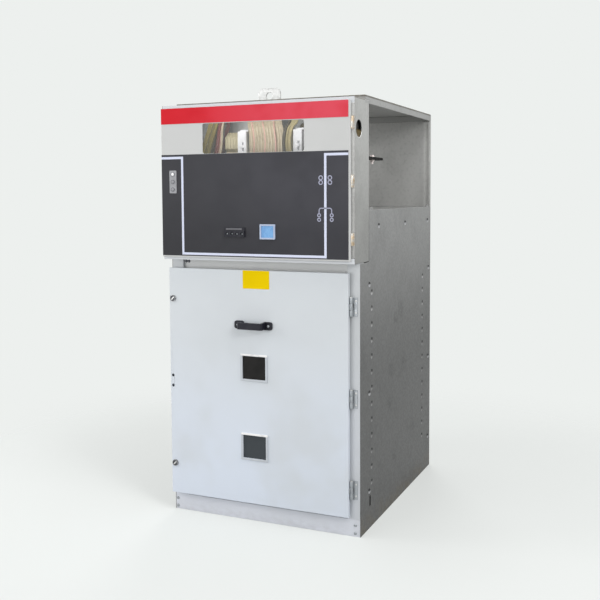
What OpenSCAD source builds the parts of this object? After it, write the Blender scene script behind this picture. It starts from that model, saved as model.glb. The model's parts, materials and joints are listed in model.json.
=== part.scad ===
// Metal-enclosed switchgear cubicle: a folded sheet cabinet with a hinged cable door,
// an instrument box above it and a busbar compartment that is open at both sides.
// Front faces -Y. Heights are from the floor, depths from the front of the door frame.

/* [Cabinet] */
// Width over the side panels
cab_w = 800; // [700:10:1000]
// Depth from the door frame to the rear face
cab_d = 960; // [800:10:1200]
// Thickness of the folded sheet
sheet = 2; // [1.5:0.5:3]
// Height of the plinth under the door
plinth_h = 65; // [50:5:120]
// Depth of the folds that stiffen the plinth
plinth_fold = 55; // [50:1:90]
// Width of the front posts beside the door
post_w = 39; // [34:1:60]
// How far the posts run on behind the door's edges
post_lap = 12; // [0:1:20]
// Depth of the front posts
post_d = 40; // [30:1:48]
// Side of a square anchor plate
anchor_size = 80; // [60:1:120]
// Thickness of an anchor plate
anchor_t = 4; // [3:0.5:10]
// Radius of an anchor hole
anchor_r = 7; // [5:0.5:12]
// Height of the rail over the door
header_h = 30; // [20:1:60]
// How far that rail is set back between the posts
header_set = 12; // [0:1:16]
// How far that rail runs down behind the door
header_lap = 14; // [0:1:24]
// Height of the side panels above the bottom of the instrument box
side_rise = 192; // [120:1:260]
// Depth of the folds on the rear panels
rear_fold = 20; // [12:1:40]
// Width of the slot low in each side panel
side_slot_w = 14; // [4:1:20]
// Height of the slot low in each side panel
side_slot_h = 40; // [20:1:60]
// Depth of that slot behind the door frame
side_slot_y = 107; // [95:1:200]
// Height of the middle of that slot
side_slot_z = 106; // [95:1:130]
// Seam between the instrument box's walls and the side panels
box_seam = 2.5; // [1:0.5:4]
// Radius of a dimple pressed into the side panels
dimple_r = 11; // [6:0.5:13]
// Depth of a dimple
dimple_d = 4.5; // [2:0.5:6]
// Number of dimples in a column
dimple_n = 13; // [6:1:14]
// Height of the lowest dimple's middle
dimple_low = 175; // [150:1:220]
// Distance of the highest dimple's middle below the instrument box
dimple_high = 118; // [40:1:160]
// Distance of the front column of dimples behind the door frame
dimple_front = 125; // [110:1:200]
// Distance of the rear column of dimples from the rear face
dimple_rear = 133; // [60:1:200]

/* [Roof] */
// Height of the roof above the instrument box
roof_rise = 17; // [12:1:60]
// Front edge of the roof, behind the door frame
roof_front = 50; // [10:1:54]
// Depth of the roof's side lips
roof_lip = 30; // [20:1:60]
// Width of a lifting lug
lug_w = 94; // [80:1:130]
// Height of a lifting lug
lug_h = 46; // [44:1:70]
// Thickness of a lifting lug
lug_t = 8; // [5:1:14]
// Radius of a lug's rounded shoulders
lug_round = 20; // [8:1:24]
// Radius of the lifting eye
lug_eye_r = 13.5; // [8:0.5:15]
// Height of the eye above the roof
lug_eye_z = 16; // [16:1:28]
// Distance of the front lug from the roof's front edge
lug_front = 30; // [20:1:150]
// Distance of the rear lug from the roof's rear edge
lug_rear = 58; // [40:1:150]

/* [Instrument box] */
// Height of the box
box_h = 597; // [560:1:700]
// How far the instrument panel stands in front of the door frame
box_proud = 66; // [50:1:90]
// Depth of the box behind the door frame
box_back = 92; // [60:1:94]
// Depth of the instrument panel's folded edge
panel_fold = 8; // [6:1:14]
// Strip of box that shows under the instrument panel
panel_gap_low = 10; // [6:1:20]
// Strip of box that shows over the instrument panel
panel_gap_top = 12; // [6:1:20]
// Strip of box that shows beside the panel's hinges
panel_gap_side = 14; // [12:1:20]
// How far the box's front flange runs on behind the panel
flange_lap = 10; // [6:1:14]
// Radius of the wiring hole in each side wall
wire_hole_r = 31; // [10:1:36]
// Distance of the wiring hole below the top of the box
wire_hole_drop = 111; // [60:1:200]
// Distance of the wiring hole behind the box's front flange
wire_hole_y = 42; // [40:1:60]

/* [Instrument panel] */
// Thickness of the coloured front plates
skin = 1; // [0.5:0.1:2]
// Bare border at the right of the coloured plates
skin_border = 8; // [4:1:16]
// Height of the title band
band_h = 60; // [40:1:62]
// Height of the bare strip between the band and the fascia
bare_h = 118; // [90:1:160]
// Height of the bare strip under the fascia
fascia_gap = 6; // [0:1:12]
// Width of the clear window
window_w = 422; // [300:1:480]
// Gap between the title band and the clear window
window_gap = 3; // [2:0.5:8]
// Corner radius of the clear window
window_r = 9; // [4:1:16]
// Middle of the clear window, from the middle of the cabinet
window_x = -5; // [-40:1:40]
// Bottom of the clear window above the fascia
window_lift = 1; // [0:0.5:2]
// Thickness of the clear pane
pane_t = 3; // [2:0.5:4]
// How far the pane runs on behind the panel
pane_lap = 6; // [4:1:10]
// Width of the live indicator
indicator_w = 31; // [24:1:40]
// Height of the live indicator
indicator_h = 88; // [70:1:100]
// How far the indicator stands out of the fascia
indicator_t = 4; // [2:0.5:6]
// Radius of the indicator's lenses
lens_r = 8; // [5:0.5:10]
// Left edge of the indicator from the left of the panel
indicator_x = 36; // [20:1:60]
// Distance of the indicator below the top of the fascia
indicator_drop = 61; // [40:1:120]
// Width of the test terminal strip
strip_w = 86; // [70:1:110]
// Height of the test terminal strip
strip_h = 36; // [30:1:50]
// How far the strip's lower step stands out of the fascia
strip_t = 8; // [5:0.5:8]
// Radius of a test socket
socket_r = 5; // [3:0.5:6]
// Distance between test sockets
socket_step = 21; // [16:0.5:22]
// Number of test sockets
socket_n = 4; // [2:1:4]
// Middle of the strip from the left of the panel
strip_x = 321; // [260:1:350]
// Bottom of the strip above the bottom of the fascia
strip_z = 76; // [40:1:160]
// Width of the small display
display_w = 63; // [50:1:80]
// Height of the small display
display_h = 56; // [44:1:70]
// How far the display stands out of the fascia
display_t = 5; // [3:0.5:8]
// Width of the display's bezel
bezel_w = 6; // [4:0.5:10]
// Middle of the display from the left of the panel
display_x = 458; // [420:1:520]
// Bottom of the display above the bottom of the fascia
display_z = 69; // [40:1:160]
// Height of a panel hinge
panel_hinge_h = 45; // [30:1:60]
// Distance of the outer hinges from the panel's ends
panel_hinge_inset = 57; // [40:1:90]

/* [Behind the window] */
// Width of one terminal block
block_w = 12; // [8:1:16]
// Height of the terminal blocks
block_h = 84; // [60:1:100]
// Depth of the terminal blocks
block_d = 46; // [30:1:60]
// Width of a breaker body
breaker_w = 35; // [24:1:44]
// Height of a breaker body
breaker_h = 100; // [80:1:120]
// Depth of a breaker body
breaker_d = 62; // [50:1:70]
// Distance of the equipment rail below the top of the box
rail_drop = 146; // [110:1:170]
// Height of the equipment rail's face
rail_h = 35; // [25:1:45]
// Depth of the equipment rail
rail_d = 15; // [8:1:20]
// Left edge of the left-hand breaker from the middle of the window
breaker_left = -101; // [-120:1:-80]
// Left edge of the right-hand breaker from the middle of the window
breaker_right = 133; // [120:1:160]
// Radius of a wire loom
loom_r = 9; // [4:0.5:11]
// Distance of the first loom's foot from the box's left wall
loom_foot = 50; // [20:1:80]
// Distance between wire looms
loom_step = 26; // [24:1:30]
// Gap between the last loom and the top of the terminal blocks
loom_gap = 3; // [2:0.5:10]

/* [Busbar compartment] */
// Width of the dark support bar
support_w = 44; // [30:1:60]
// Length of the dark support bar
support_l = 190; // [80:1:220]
// Thickness of the dark support bar
support_t = 9; // [6:1:16]
// Radius of the bolt through the bar
support_bolt_r = 5; // [4:0.5:8]
// Radius of the washers on that bolt
washer_r = 10; // [8:0.5:18]
// Thickness of those washers
washer_t = 4; // [2:0.5:6]
// Length of the bolt below the bar
support_drop = 16; // [12:1:30]
// Distance of the bolt from the box's back
support_bolt_y = 104; // [24:1:140]
// Height of the support above the busbar floor
support_z = 190; // [120:1:260]
// Gap between the support bar and the right-hand opening
support_gap = 2; // [1:1:60]
// Height of the joining tabs at the side openings
tab_h = 10; // [6:1:24]
// Length of a joining tab
tab_l = 36; // [20:1:100]
// Thickness of a joining tab
tab_t = 3; // [2:0.5:5]

/* [Door] */
// Height of the door
door_h = 912; // [800:1:1000]
// Gap between the plinth and the door
door_gap_low = 11; // [6:1:20]
// Gap between the door and the rail over it
door_gap_top = 7; // [6:1:20]
// How far the door's face stands in front of the frame
door_proud = 24; // [18:1:28]
// Gap between the closed door and the frame
door_seal = 6; // [5:0.5:8]
// Width of the lip folded in behind the door's edge
door_lip = 16; // [10:1:24]
// Middle of the door's handle and windows, from the middle of the door
door_mid_x = -6; // [-30:1:30]
// Width of a door window
door_win_w = 98; // [80:1:130]
// Height of a door window
door_win_h = 90; // [70:1:120]
// Height of the lower window's middle above the bottom of the door
door_win_low = 225; // [180:1:260]
// Distance between the two windows' middles
door_win_step = 310; // [240:1:330]
// Width of a window's frame
win_frame_w = 8; // [5:0.5:14]
// How far a window's frame stands out of the door
win_frame_t = 4; // [2:0.5:8]
// Length of the handle over its feet
handle_l = 160; // [140:1:200]
// How far each foot runs on past its leg
handle_foot = 27; // [20:1:32]
// Thickness of the handle's feet
handle_foot_t = 7; // [4:0.5:10]
// Height of the handle's feet
handle_h = 31; // [28:1:44]
// Height of the handle's grip
grip_h = 25; // [18:1:30]
// Thickness of the handle's grip and legs
grip_t = 12; // [8:1:14]
// How far the handle stands out of the door
handle_out = 42; // [38:1:48]
// Height of the handle's middle above the bottom of the door
handle_z = 701; // [640:1:740]
// Radius of a quarter-turn lock
lock_r = 13; // [10:0.5:15]
// How far a lock stands out of the door
lock_t = 4; // [3:0.5:8]
// Distance of the locks from the door's free edge
lock_x = 16; // [16:1:30]
// Distance of the locks from the door's ends
lock_inset = 122; // [80:1:200]
// Radius of the small holes near the door's free edge
small_hole_r = 6; // [2:0.5:8]
// Distance of the small holes from the door's free edge
small_hole_x = 11; // [10:1:20]
// Height of the lower small hole above the bottom of the door
small_hole_z = 438; // [380:1:480]
// Distance between the small holes
small_hole_step = 41; // [20:1:60]

/* [Door hinges] */
// Height of a hinge
hinge_h = 69; // [50:1:90]
// Radius of a hinge knuckle
knuckle_r = 6; // [5:0.5:6.5]
// Radius of a hinge pin
pin_r = 3; // [2:0.25:3.5]
// Radial clearance of the pin in its knuckles
pin_clear = 0.05; // [0.02:0.01:0.1]
// Gap between knuckles along the pin
knuckle_gap = 0.5; // [0.3:0.1:1]
// Gap between a knuckle and the door's edge
knuckle_edge = 1; // [0.8:0.1:2]
// Distance of the hinge axis in front of the frame
hinge_y = 12; // [10:0.5:14]
// Thickness of a hinge leaf
leaf_t = 3; // [2:0.5:3]
// Width of the leaf on the post
leaf_w = 21; // [18:1:26]
// Height of the lowest hinge's middle above the bottom of the door
hinge_low = 102; // [60:1:140]
// Distance of the highest hinge's middle below the top of the door
hinge_high = 124; // [60:1:160]

/* [Hidden] */
$fn = 48;

half = cab_w / 2;
inner = half - sheet;
post_in = half - post_w - post_lap;
cut = 1;

// Heights from the floor up
door_z0 = plinth_h + door_gap_low;
door_z1 = door_z0 + door_h;
box_z0 = door_z1 + door_gap_top + header_h;
box_z1 = box_z0 + box_h;
roof_z = box_z1 + roof_rise;
lip_z = roof_z - roof_lip;
side_z = box_z0 + side_rise;
floor_z = plinth_h + sheet;

// Instrument panel
panel_y = -box_proud;
flange_y = panel_y + panel_fold;
panel_x0 = -half;
panel_x1 = half - panel_gap_side;
panel_z0 = box_z0 + panel_gap_low;
panel_z1 = box_z1 - panel_gap_top;
skin_x1 = panel_x1 - skin_border;
skin_y = panel_y - skin;
fascia_z0 = panel_z0 + fascia_gap;
fascia_z1 = panel_z1 - band_h - bare_h;
window_z0 = fascia_z1 + window_lift;
window_z1 = panel_z1 - band_h - window_gap;
trim_reach = max(strip_t, display_t, indicator_t);
front_reach = box_proud + skin + trim_reach;

// The drawing's zero depth is the door frame; the finished part is centred on its own depth
depth_mid = (cab_d - front_reach) / 2;

// Door
door_x0 = -half;
door_x1 = half - post_w;
door_mid = (door_x0 + door_x1) / 2 + door_mid_x;
door_y0 = -door_proud;
door_y1 = -door_seal;
hinge_x = door_x1 + knuckle_edge + knuckle_r;
hinge_axis = [hinge_x, -hinge_y];
hinge_step = (door_h - hinge_low - hinge_high) / 2;
hinge_mids = [for (i = [0 : 2]) door_z0 + hinge_low + i * hinge_step];
win_mids = [for (i = [0 : 1]) door_z0 + door_win_low + i * door_win_step];
lock_mids = [door_z0 + lock_inset, door_z1 - lock_inset];

// Colours
paint = [0.82, 0.84, 0.86];
zinc = [0.60, 0.61, 0.61];
dark = [0.29, 0.29, 0.31];
black = [0.10, 0.10, 0.11];
bright = [0.80, 0.81, 0.82];

// A block from its lowest to its highest corner
module block(lo, hi) {
    translate(lo) cube(hi - lo);
}

// A profile in depth and height, drawn across the cabinet's width
module across(x0, x1) {
    translate([x0, 0, 0]) rotate([90, 0, 90]) linear_extrude(x1 - x0) children();
}

// A profile in width and height, drawn from front to rear
module through(y0, y1) {
    translate([0, y1, 0]) rotate([90, 0, 0]) linear_extrude(y1 - y0) children();
}

// A profile in plan, drawn upwards
module upright(z0, z1) {
    translate([0, 0, z0]) linear_extrude(z1 - z0) children();
}

// A flat rectangle from corner to corner
module plate(lo, hi) {
    translate(lo) square(hi - lo);
}

// A rectangle with round corners, from corner to corner
module round_plate(lo, hi, r) {
    plate(lo + [r, 0], hi - [r, 0]);
    plate(lo + [0, r], hi - [0, r]);
    for (x = [lo[0] + r, hi[0] - r], y = [lo[1] + r, hi[1] - r]) translate([x, y]) circle(r);
}

// Draws its child on both sides of the cabinet's middle
module both_sides() {
    children();
    mirror([1, 0, 0]) children();
}

module left_hand() {
    mirror([1, 0, 0]) children();
}

// Base
// Plinth channel with its web at depth zero and its folds running back
module plinth_channel(fold, height) {
    plate([0, 0], [sheet, height]);
    plate([0, 0], [fold, sheet]);
    plate([0, height - sheet], [fold, height]);
}

module front_plinth() {
    color(paint) across(-inner, inner) plinth_channel(plinth_fold, plinth_h);
}

module rear_plinth() {
    color(zinc) translate([0, cab_d, 0]) mirror([0, 1, 0])
        across(-inner, inner) plinth_channel(plinth_fold, plinth_h);
}

// Angle along the side, under the edge of the floor plate
module base_rail() {
    through(plinth_fold, cab_d - plinth_fold) {
        plate([inner - sheet, 0], [inner, plinth_h]);
        plate([inner - plinth_fold, plinth_h - sheet], [inner, plinth_h]);
    }
}

module right_base_rail() {
    color(zinc) base_rail();
}

module left_base_rail() {
    color(zinc) left_hand() base_rail();
}

anchor_x = inner - sheet - anchor_size / 2;
anchor_ys = [plinth_fold + anchor_size / 2, cab_d - plinth_fold - anchor_size / 2];

// Foot plates with the holes for the floor anchors
module anchor_plates() {
    color(zinc) for (x = [-anchor_x, anchor_x], y = anchor_ys) translate([x, y, 0]) difference() {
        translate([-anchor_size / 2, -anchor_size / 2, 0]) cube([anchor_size, anchor_size, anchor_t]);
        translate([0, 0, -cut]) cylinder(r = anchor_r, h = anchor_t + 2 * cut);
    }
}

module floor_plate() {
    color(zinc) block([sheet - inner, post_d, plinth_h], [inner - sheet, cab_d - sheet, floor_z]);
}

// Frame
// Open channel that stands on the plinth, inside the side panel's front edge
module front_post() {
    upright(plinth_h, box_z0) {
        plate([post_in, 0], [inner, sheet]);
        plate([inner - sheet, 0], [inner, post_d]);
        plate([post_in, 0], [post_in + sheet, post_d / 2]);
    }
}

module right_front_post() {
    color(paint) front_post();
}

module left_front_post() {
    color(paint) left_hand() front_post();
}

// Channel between the posts that also stops the gap over the door
module header_rail() {
    height = header_h + header_lap;
    color(paint) translate([0, header_set, box_z0 - height])
        across(-post_in, post_in) plinth_channel(post_d / 2, height);
}

dimple_step = (box_z0 - dimple_high - dimple_low) / (dimple_n - 1);
dimple_ball = (dimple_r * dimple_r + dimple_d * dimple_d) / (2 * dimple_d);

// One ball for each dimple, in a front and a rear column
module dimple_balls(grow) {
    for (y = [dimple_front, cab_d - dimple_rear], i = [0 : dimple_n - 1])
        translate([half + dimple_ball - dimple_d, y, dimple_low + i * dimple_step]) sphere(dimple_ball + grow);
}

// Side sheet with pressed dimples, stepped where the instrument box stands on the frame
module side_panel() {
    step_y = box_back + box_seam;
    step_z = box_z0 - box_seam;
    difference() {
        union() {
            across(inner, half) polygon([
                [0, 0], [cab_d, 0], [cab_d, side_z], [step_y, side_z], [step_y, step_z], [0, step_z]
            ]);
            intersection() {
                dimple_balls(sheet);
                block([inner - 2 * dimple_d, 0, 0], [inner, cab_d, box_z0]);
            }
        }
        dimple_balls(0);
        translate([inner - cut, side_slot_y - side_slot_w / 2, side_slot_z - side_slot_h / 2])
            cube([sheet + 2 * cut, side_slot_w, side_slot_h]);
    }
}

module right_side_panel() {
    color(zinc) side_panel();
}

module left_side_panel() {
    color(zinc) left_hand() side_panel();
}

// Rear
module lower_rear_panel() {
    color(zinc) {
        block([-inner, cab_d - sheet, plinth_h], [inner, cab_d, side_z]);
        both_sides() block([inner - sheet, cab_d - rear_fold, floor_z], [inner, cab_d, side_z - sheet]);
    }
}

module upper_rear_cover() {
    color(zinc) {
        block([-half, cab_d - sheet, side_z], [half, cab_d, lip_z]);
        both_sides() block([inner, cab_d - rear_fold, side_z], [half, cab_d, lip_z]);
    }
}

// Busbar compartment and roof
module busbar_floor() {
    color(zinc) block([-inner, box_back, side_z - sheet], [inner, cab_d - sheet, side_z]);
}

module roof_panel() {
    color(zinc) {
        block([-half, roof_front, roof_z - sheet], [half, cab_d, roof_z]);
        block([-half, roof_front, box_z1], [half, roof_front + sheet, roof_z]);
        block([-half, cab_d - sheet, lip_z], [half, cab_d, roof_z]);
        both_sides() {
            block([inner, box_back, lip_z], [half, cab_d, roof_z]);
            block([inner, roof_front, box_z1], [half, box_back, roof_z]);
        }
    }
}

// Lug with round shoulders and one eye
module lug_profile() {
    shoulder = lug_h - lug_round;
    difference() {
        union() {
            plate([-lug_w / 2, 0], [lug_w / 2, shoulder]);
            plate([lug_round - lug_w / 2, 0], [lug_w / 2 - lug_round, lug_h]);
            for (x = [lug_round - lug_w / 2, lug_w / 2 - lug_round]) translate([x, shoulder]) circle(lug_round);
        }
        translate([0, lug_eye_z]) circle(lug_eye_r);
    }
}

module lifting_lugs() {
    color(bright) for (y = [roof_front + lug_front, cab_d - lug_rear])
        translate([0, 0, roof_z]) through(y - lug_t / 2, y + lug_t / 2) lug_profile();
}

// Instrument box
module box_wall() {
    difference() {
        union() {
            block([inner, flange_y, box_z0], [half, box_back, box_z1]);
            block([half - panel_gap_side - flange_lap, flange_y, panel_z0 + flange_lap],
                  [half, flange_y + sheet, panel_z1 - flange_lap]);
        }
        translate([inner - cut, flange_y + wire_hole_y, box_z1 - wire_hole_drop])
            rotate([0, 90, 0]) cylinder(r = wire_hole_r, h = sheet + 2 * cut);
    }
}

module box_right_wall() {
    color(zinc) box_wall();
}

module box_left_wall() {
    color(zinc) left_hand() box_wall();
}

module box_bottom() {
    color(paint) {
        block([-inner, flange_y, box_z0], [inner, box_back - sheet, box_z0 + sheet]);
        block([-inner, flange_y, box_z0], [inner, flange_y + sheet, panel_z0 + flange_lap]);
    }
}

module box_top() {
    color(paint) {
        block([-inner, flange_y, box_z1 - sheet], [inner, box_back - sheet, box_z1]);
        block([-inner, flange_y, panel_z1 - flange_lap], [inner, flange_y + sheet, box_z1]);
    }
}

module box_back() {
    color(zinc) block([-inner, box_back - sheet, box_z0], [inner, box_back, roof_z - sheet]);
}

// Instrument panel and what it carries
module window_outline(grow) {
    round_plate([window_x - window_w / 2 - grow, window_z0 - grow],
                [window_x + window_w / 2 + grow, window_z1 + grow], window_r + grow);
}

module instrument_panel() {
    color(paint) difference() {
        block([panel_x0, panel_y, panel_z0], [panel_x1, flange_y, panel_z1]);
        block([panel_x0 + sheet, panel_y + sheet, panel_z0 + sheet],
              [panel_x1 - sheet, flange_y + cut, panel_z1 - sheet]);
        through(panel_y - cut, panel_y + sheet + cut) window_outline(0);
    }
}

module title_band() {
    color([0.86, 0.12, 0.18]) block([panel_x0, skin_y, panel_z1 - band_h], [skin_x1, panel_y, panel_z1]);
}

module mimic_fascia() {
    color(dark) block([panel_x0, skin_y, fascia_z0], [skin_x1, panel_y, fascia_z1]);
}

module window_pane() {
    color([0.85, 0.90, 0.90, 0.35])
        through(panel_y + sheet, panel_y + sheet + pane_t) window_outline(pane_lap);
}

lens_step = indicator_h / 3;

// Indicator with three round lenses
module live_indicator() {
    left = panel_x0 + indicator_x;
    low = fascia_z1 - indicator_drop - indicator_h;
    base_t = indicator_t / 2;
    color([0.72, 0.72, 0.74]) {
        through(skin_y - base_t, skin_y)
            round_plate([left, low], [left + indicator_w, low + indicator_h], bezel_w / 2);
        for (i = [0 : 2]) translate([left + indicator_w / 2, skin_y - base_t, low + lens_step * (i + 0.5)])
            rotate([90, 0, 0]) cylinder(r = lens_r, h = base_t);
    }
}

// Stepped strip with a row of test sockets in its lower step
module test_terminals() {
    middle = panel_x0 + strip_x;
    low = fascia_z0 + strip_z;
    step_h = strip_h * 2 / 3;
    first = middle - socket_step * (socket_n - 1) / 2;
    color(black) difference() {
        union() {
            block([middle - strip_w / 2, skin_y - strip_t, low], [middle + strip_w / 2, skin_y, low + step_h]);
            block([middle - strip_w / 2, skin_y - strip_t / 2, low], [middle + strip_w / 2, skin_y, low + strip_h]);
        }
        for (i = [0 : socket_n - 1])
            translate([first + i * socket_step, skin_y - strip_t / 4, low + step_h / 2])
                rotate([90, 0, 0]) cylinder(r = socket_r, h = strip_t);
    }
}

display_left = panel_x0 + display_x - display_w / 2;
display_low = fascia_z0 + display_z;

module display_bezel() {
    color([0.78, 0.82, 0.90]) through(skin_y - display_t, skin_y) difference() {
        round_plate([display_left, display_low], [display_left + display_w, display_low + display_h], bezel_w / 2);
        plate([display_left + bezel_w, display_low + bezel_w],
              [display_left + display_w - bezel_w, display_low + display_h - bezel_w]);
    }
}

module display_screen() {
    color([0.45, 0.70, 0.93])
        block([display_left + bezel_w, skin_y - display_t / 2, display_low + bezel_w],
              [display_left + display_w - bezel_w, skin_y, display_low + display_h - bezel_w]);
}

panel_hinge_r = min(panel_gap_side / 3, (panel_fold + skin) / 2);
panel_hinge_x = panel_x1 + panel_hinge_r;
panel_hinge_z0 = panel_z0 + panel_hinge_inset;
panel_hinge_step = (panel_z1 - panel_hinge_inset - panel_hinge_h - panel_hinge_z0) / 2;

// Hinges in the gap beside the panel, with their leaves on the box's flange
module panel_hinges() {
    leaf = panel_hinge_r / 2;
    color(bright) for (i = [0 : 2]) {
        low = panel_hinge_z0 + i * panel_hinge_step;
        translate([panel_hinge_x, flange_y - panel_hinge_r, low]) cylinder(r = panel_hinge_r, h = panel_hinge_h);
        block([panel_hinge_x, flange_y - leaf, low], [inner, flange_y, low + panel_hinge_h]);
    }
}

// Behind the window
rail_mid = box_z1 - rail_drop;
rail_y = box_back - sheet - rail_d;
block_low = rail_mid - block_h / 2;
breaker_low = rail_mid - breaker_h / 2;
rail_reach = inner - 2 * rail_h;
breaker_xs = [window_x + breaker_left, window_x + breaker_right];
// Runs of terminal blocks: the middle breaker's neighbours, each from a left edge with a count
block_runs = [
    [breaker_xs[0] - 5 * block_w - block_w / 3, 5],
    [breaker_xs[0] + breaker_w + block_w / 2, 12],
    [breaker_xs[1] - 2 * block_w - block_w / 3, 2]
];

// Top-hat rail fixed to the back of the box
module equipment_rail() {
    foot = rail_h / 5;
    color(bright) across(-rail_reach, rail_reach) {
        plate([rail_y, rail_mid - rail_h / 2], [rail_y + sheet, rail_mid + rail_h / 2]);
        for (z = [rail_mid - rail_h / 2 + foot, rail_mid + rail_h / 2 - foot - sheet])
            plate([rail_y, z], [rail_y + rail_d, z + sheet]);
    }
}

// One terminal block: a stepped body with a screw well
module terminal_block(x) {
    shoulder = block_h / 4;
    wall = block_w / 8;
    translate([x + wall / 2, 0, 0]) across(0, block_w - wall) polygon([
        [rail_y, block_low], [rail_y, block_low + block_h],
        [rail_y - block_d / 2, block_low + block_h], [rail_y - block_d, block_low + block_h - shoulder],
        [rail_y - block_d, block_low + shoulder], [rail_y - block_d / 2, block_low]
    ]);
}

module terminal_blocks() {
    color([0.80, 0.74, 0.58]) for (run = block_runs, i = [0 : run[1] - 1])
        terminal_block(run[0] + i * block_w);
}

// Breaker: a body with a tall raised face and a toggle in a slot in the lower half of it
module breaker_bodies() {
    face = breaker_h * 0.86;
    face_y = rail_y - breaker_d;
    back_y = rail_y - breaker_d * 2 / 3;
    slot_w = breaker_w / 4;
    color([0.93, 0.93, 0.92]) for (x = breaker_xs) {
        difference() {
            across(x, x + breaker_w) polygon([
                [rail_y, breaker_low], [rail_y, breaker_low + breaker_h], [back_y, breaker_low + breaker_h],
                [back_y, rail_mid + face / 2], [face_y, rail_mid + face / 2],
                [face_y, rail_mid - face / 2], [back_y, rail_mid - face / 2], [back_y, breaker_low]
            ]);
            block([x + breaker_w / 2, face_y - cut, rail_mid - face * 0.4],
                  [x + breaker_w / 2 + slot_w, face_y + slot_w, rail_mid]);
        }
        block([x + breaker_w / 2, face_y - slot_w / 2, rail_mid - face / 4],
              [x + breaker_w / 2 + slot_w, face_y + slot_w, rail_mid - face / 8]);
    }
}

loom_low = box_z0 + sheet;
loom_high = box_z1 - sheet;
// The looms lean from their feet near the wall to pass beside the top of the terminal blocks
loom_top = [block_runs[0][0] - loom_gap - loom_r, block_low + block_h];
loom_foot_x = loom_foot - inner + 2 * loom_step;
loom_lean = atan((loom_top[0] - loom_foot_x) / (loom_top[1] - loom_low));

module wire_looms() {
    color([0.42, 0.36, 0.20]) for (i = [0 : 2]) intersection() {
        translate([loom_top[0] - i * loom_step, rail_y - loom_r, loom_top[1]]) rotate([0, loom_lean, 0])
            cylinder(r = loom_r, h = 2 * box_h, center = true);
        block([-inner, flange_y, loom_low], [inner, box_back, loom_high]);
    }
}

// Busbar compartment fittings
support_pos = [half - support_gap - support_w / 2, box_back, side_z + support_z];

module at_support_bolt() {
    translate(support_pos + [0, support_bolt_y, 0]) children();
}

// Dark bar with a round end, drilled for its bolt, standing out of the box's back
module busbar_support() {
    straight = support_l - support_w / 2;
    color(black) difference() {
        translate(support_pos) linear_extrude(support_t) {
            plate([-support_w / 2, 0], [support_w / 2, straight]);
            translate([0, straight]) circle(support_w / 2);
        }
        at_support_bolt() translate([0, 0, -cut]) cylinder(r = support_bolt_r + pin_clear, h = support_t + 2 * cut);
    }
}

// Bolt with a washer and a six-sided head or nut on each side of the bar
module support_washers() {
    color(bright) at_support_bolt() {
        translate([0, 0, -support_drop]) cylinder(r = support_bolt_r, h = support_drop + support_t + washer_t);
        for (z = [-washer_t, support_t]) translate([0, 0, z]) cylinder(r = washer_r, h = washer_t);
        translate([0, 0, -washer_t - support_bolt_r]) cylinder(r = washer_r - 2, h = support_bolt_r, $fn = 6);
        translate([0, 0, support_t + washer_t]) cylinder(r = washer_r - 2, h = support_bolt_r, $fn = 6);
    }
}

// Tabs that stand on the busbar floor at each side opening
module joining_tabs() {
    color(zinc) both_sides() for (y = [box_back + tab_h, cab_d - rear_fold - tab_h - tab_l])
        block([inner - tab_t, y, side_z], [inner, y + tab_l, side_z + tab_h]);
}

// Door hinges
barrel_h = hinge_h / 3;

// Leaf profile on the post: a knuckle on a web that bends on to the post
module post_leaf_profile() {
    translate(hinge_axis) circle(knuckle_r);
    plate([hinge_x, -hinge_y], [hinge_x + knuckle_r, 0]);
    plate([hinge_x, -leaf_t], [hinge_x + leaf_w, 0]);
}

// Leaf profile on the door: a knuckle and a plate against the door's edge
module door_leaf_profile() {
    translate(hinge_axis) circle(knuckle_r);
    plate([door_x1, door_y0 + sheet], [door_x1 + leaf_t, -hinge_y]);
}

module pin_bore() {
    translate([hinge_x, -hinge_y, 0]) cylinder(r = pin_r + pin_clear, h = box_z0);
}

module hinge_post_leaves() {
    color(zinc) difference() {
        for (z = hinge_mids) {
            upright(z - hinge_h / 2, z - barrel_h / 2 - knuckle_gap) post_leaf_profile();
            upright(z + barrel_h / 2 + knuckle_gap, z + hinge_h / 2) post_leaf_profile();
            upright(z - hinge_h / 2, z + hinge_h / 2)
                plate([hinge_x + knuckle_r + knuckle_gap, -leaf_t], [hinge_x + leaf_w, 0]);
        }
        pin_bore();
    }
}

module hinge_door_leaves() {
    color(zinc) difference() {
        for (z = hinge_mids) upright(z - barrel_h / 2, z + barrel_h / 2) door_leaf_profile();
        pin_bore();
    }
}

// Pins with a head that rests on the upper knuckle
module hinge_pins() {
    head_h = pin_r;
    color(bright) for (z = hinge_mids) translate([hinge_x, -hinge_y, z - hinge_h / 2]) {
        cylinder(r = pin_r, h = hinge_h);
        translate([0, 0, hinge_h]) cylinder(r = knuckle_r - knuckle_gap, h = head_h);
    }
}

// Door
module window_hole(z, grow) {
    plate([door_mid - door_win_w / 2 - grow, z - door_win_h / 2 - grow],
          [door_mid + door_win_w / 2 + grow, z + door_win_h / 2 + grow]);
}

// Pan folded from one sheet, with a lip turned in behind its edge
module door_panel() {
    edge = sheet + door_lip;
    color(paint) difference() {
        block([door_x0, door_y0, door_z0], [door_x1, door_y1, door_z1]);
        block([door_x0 + sheet, door_y0 + sheet, door_z0 + sheet],
              [door_x1 - sheet, door_y1 - sheet, door_z1 - sheet]);
        block([door_x0 + edge, door_y0 + sheet, door_z0 + edge],
              [door_x1 - edge, door_y1 + cut, door_z1 - edge]);
        through(door_y0 - cut, door_y0 + sheet + cut) for (z = win_mids) window_hole(z, 0);
        for (z = [small_hole_z, small_hole_z + small_hole_step])
            translate([door_x0 + small_hole_x, door_y0 - cut, door_z0 + z])
                rotate([-90, 0, 0]) cylinder(r = small_hole_r, h = sheet + 2 * cut);
    }
}

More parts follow.
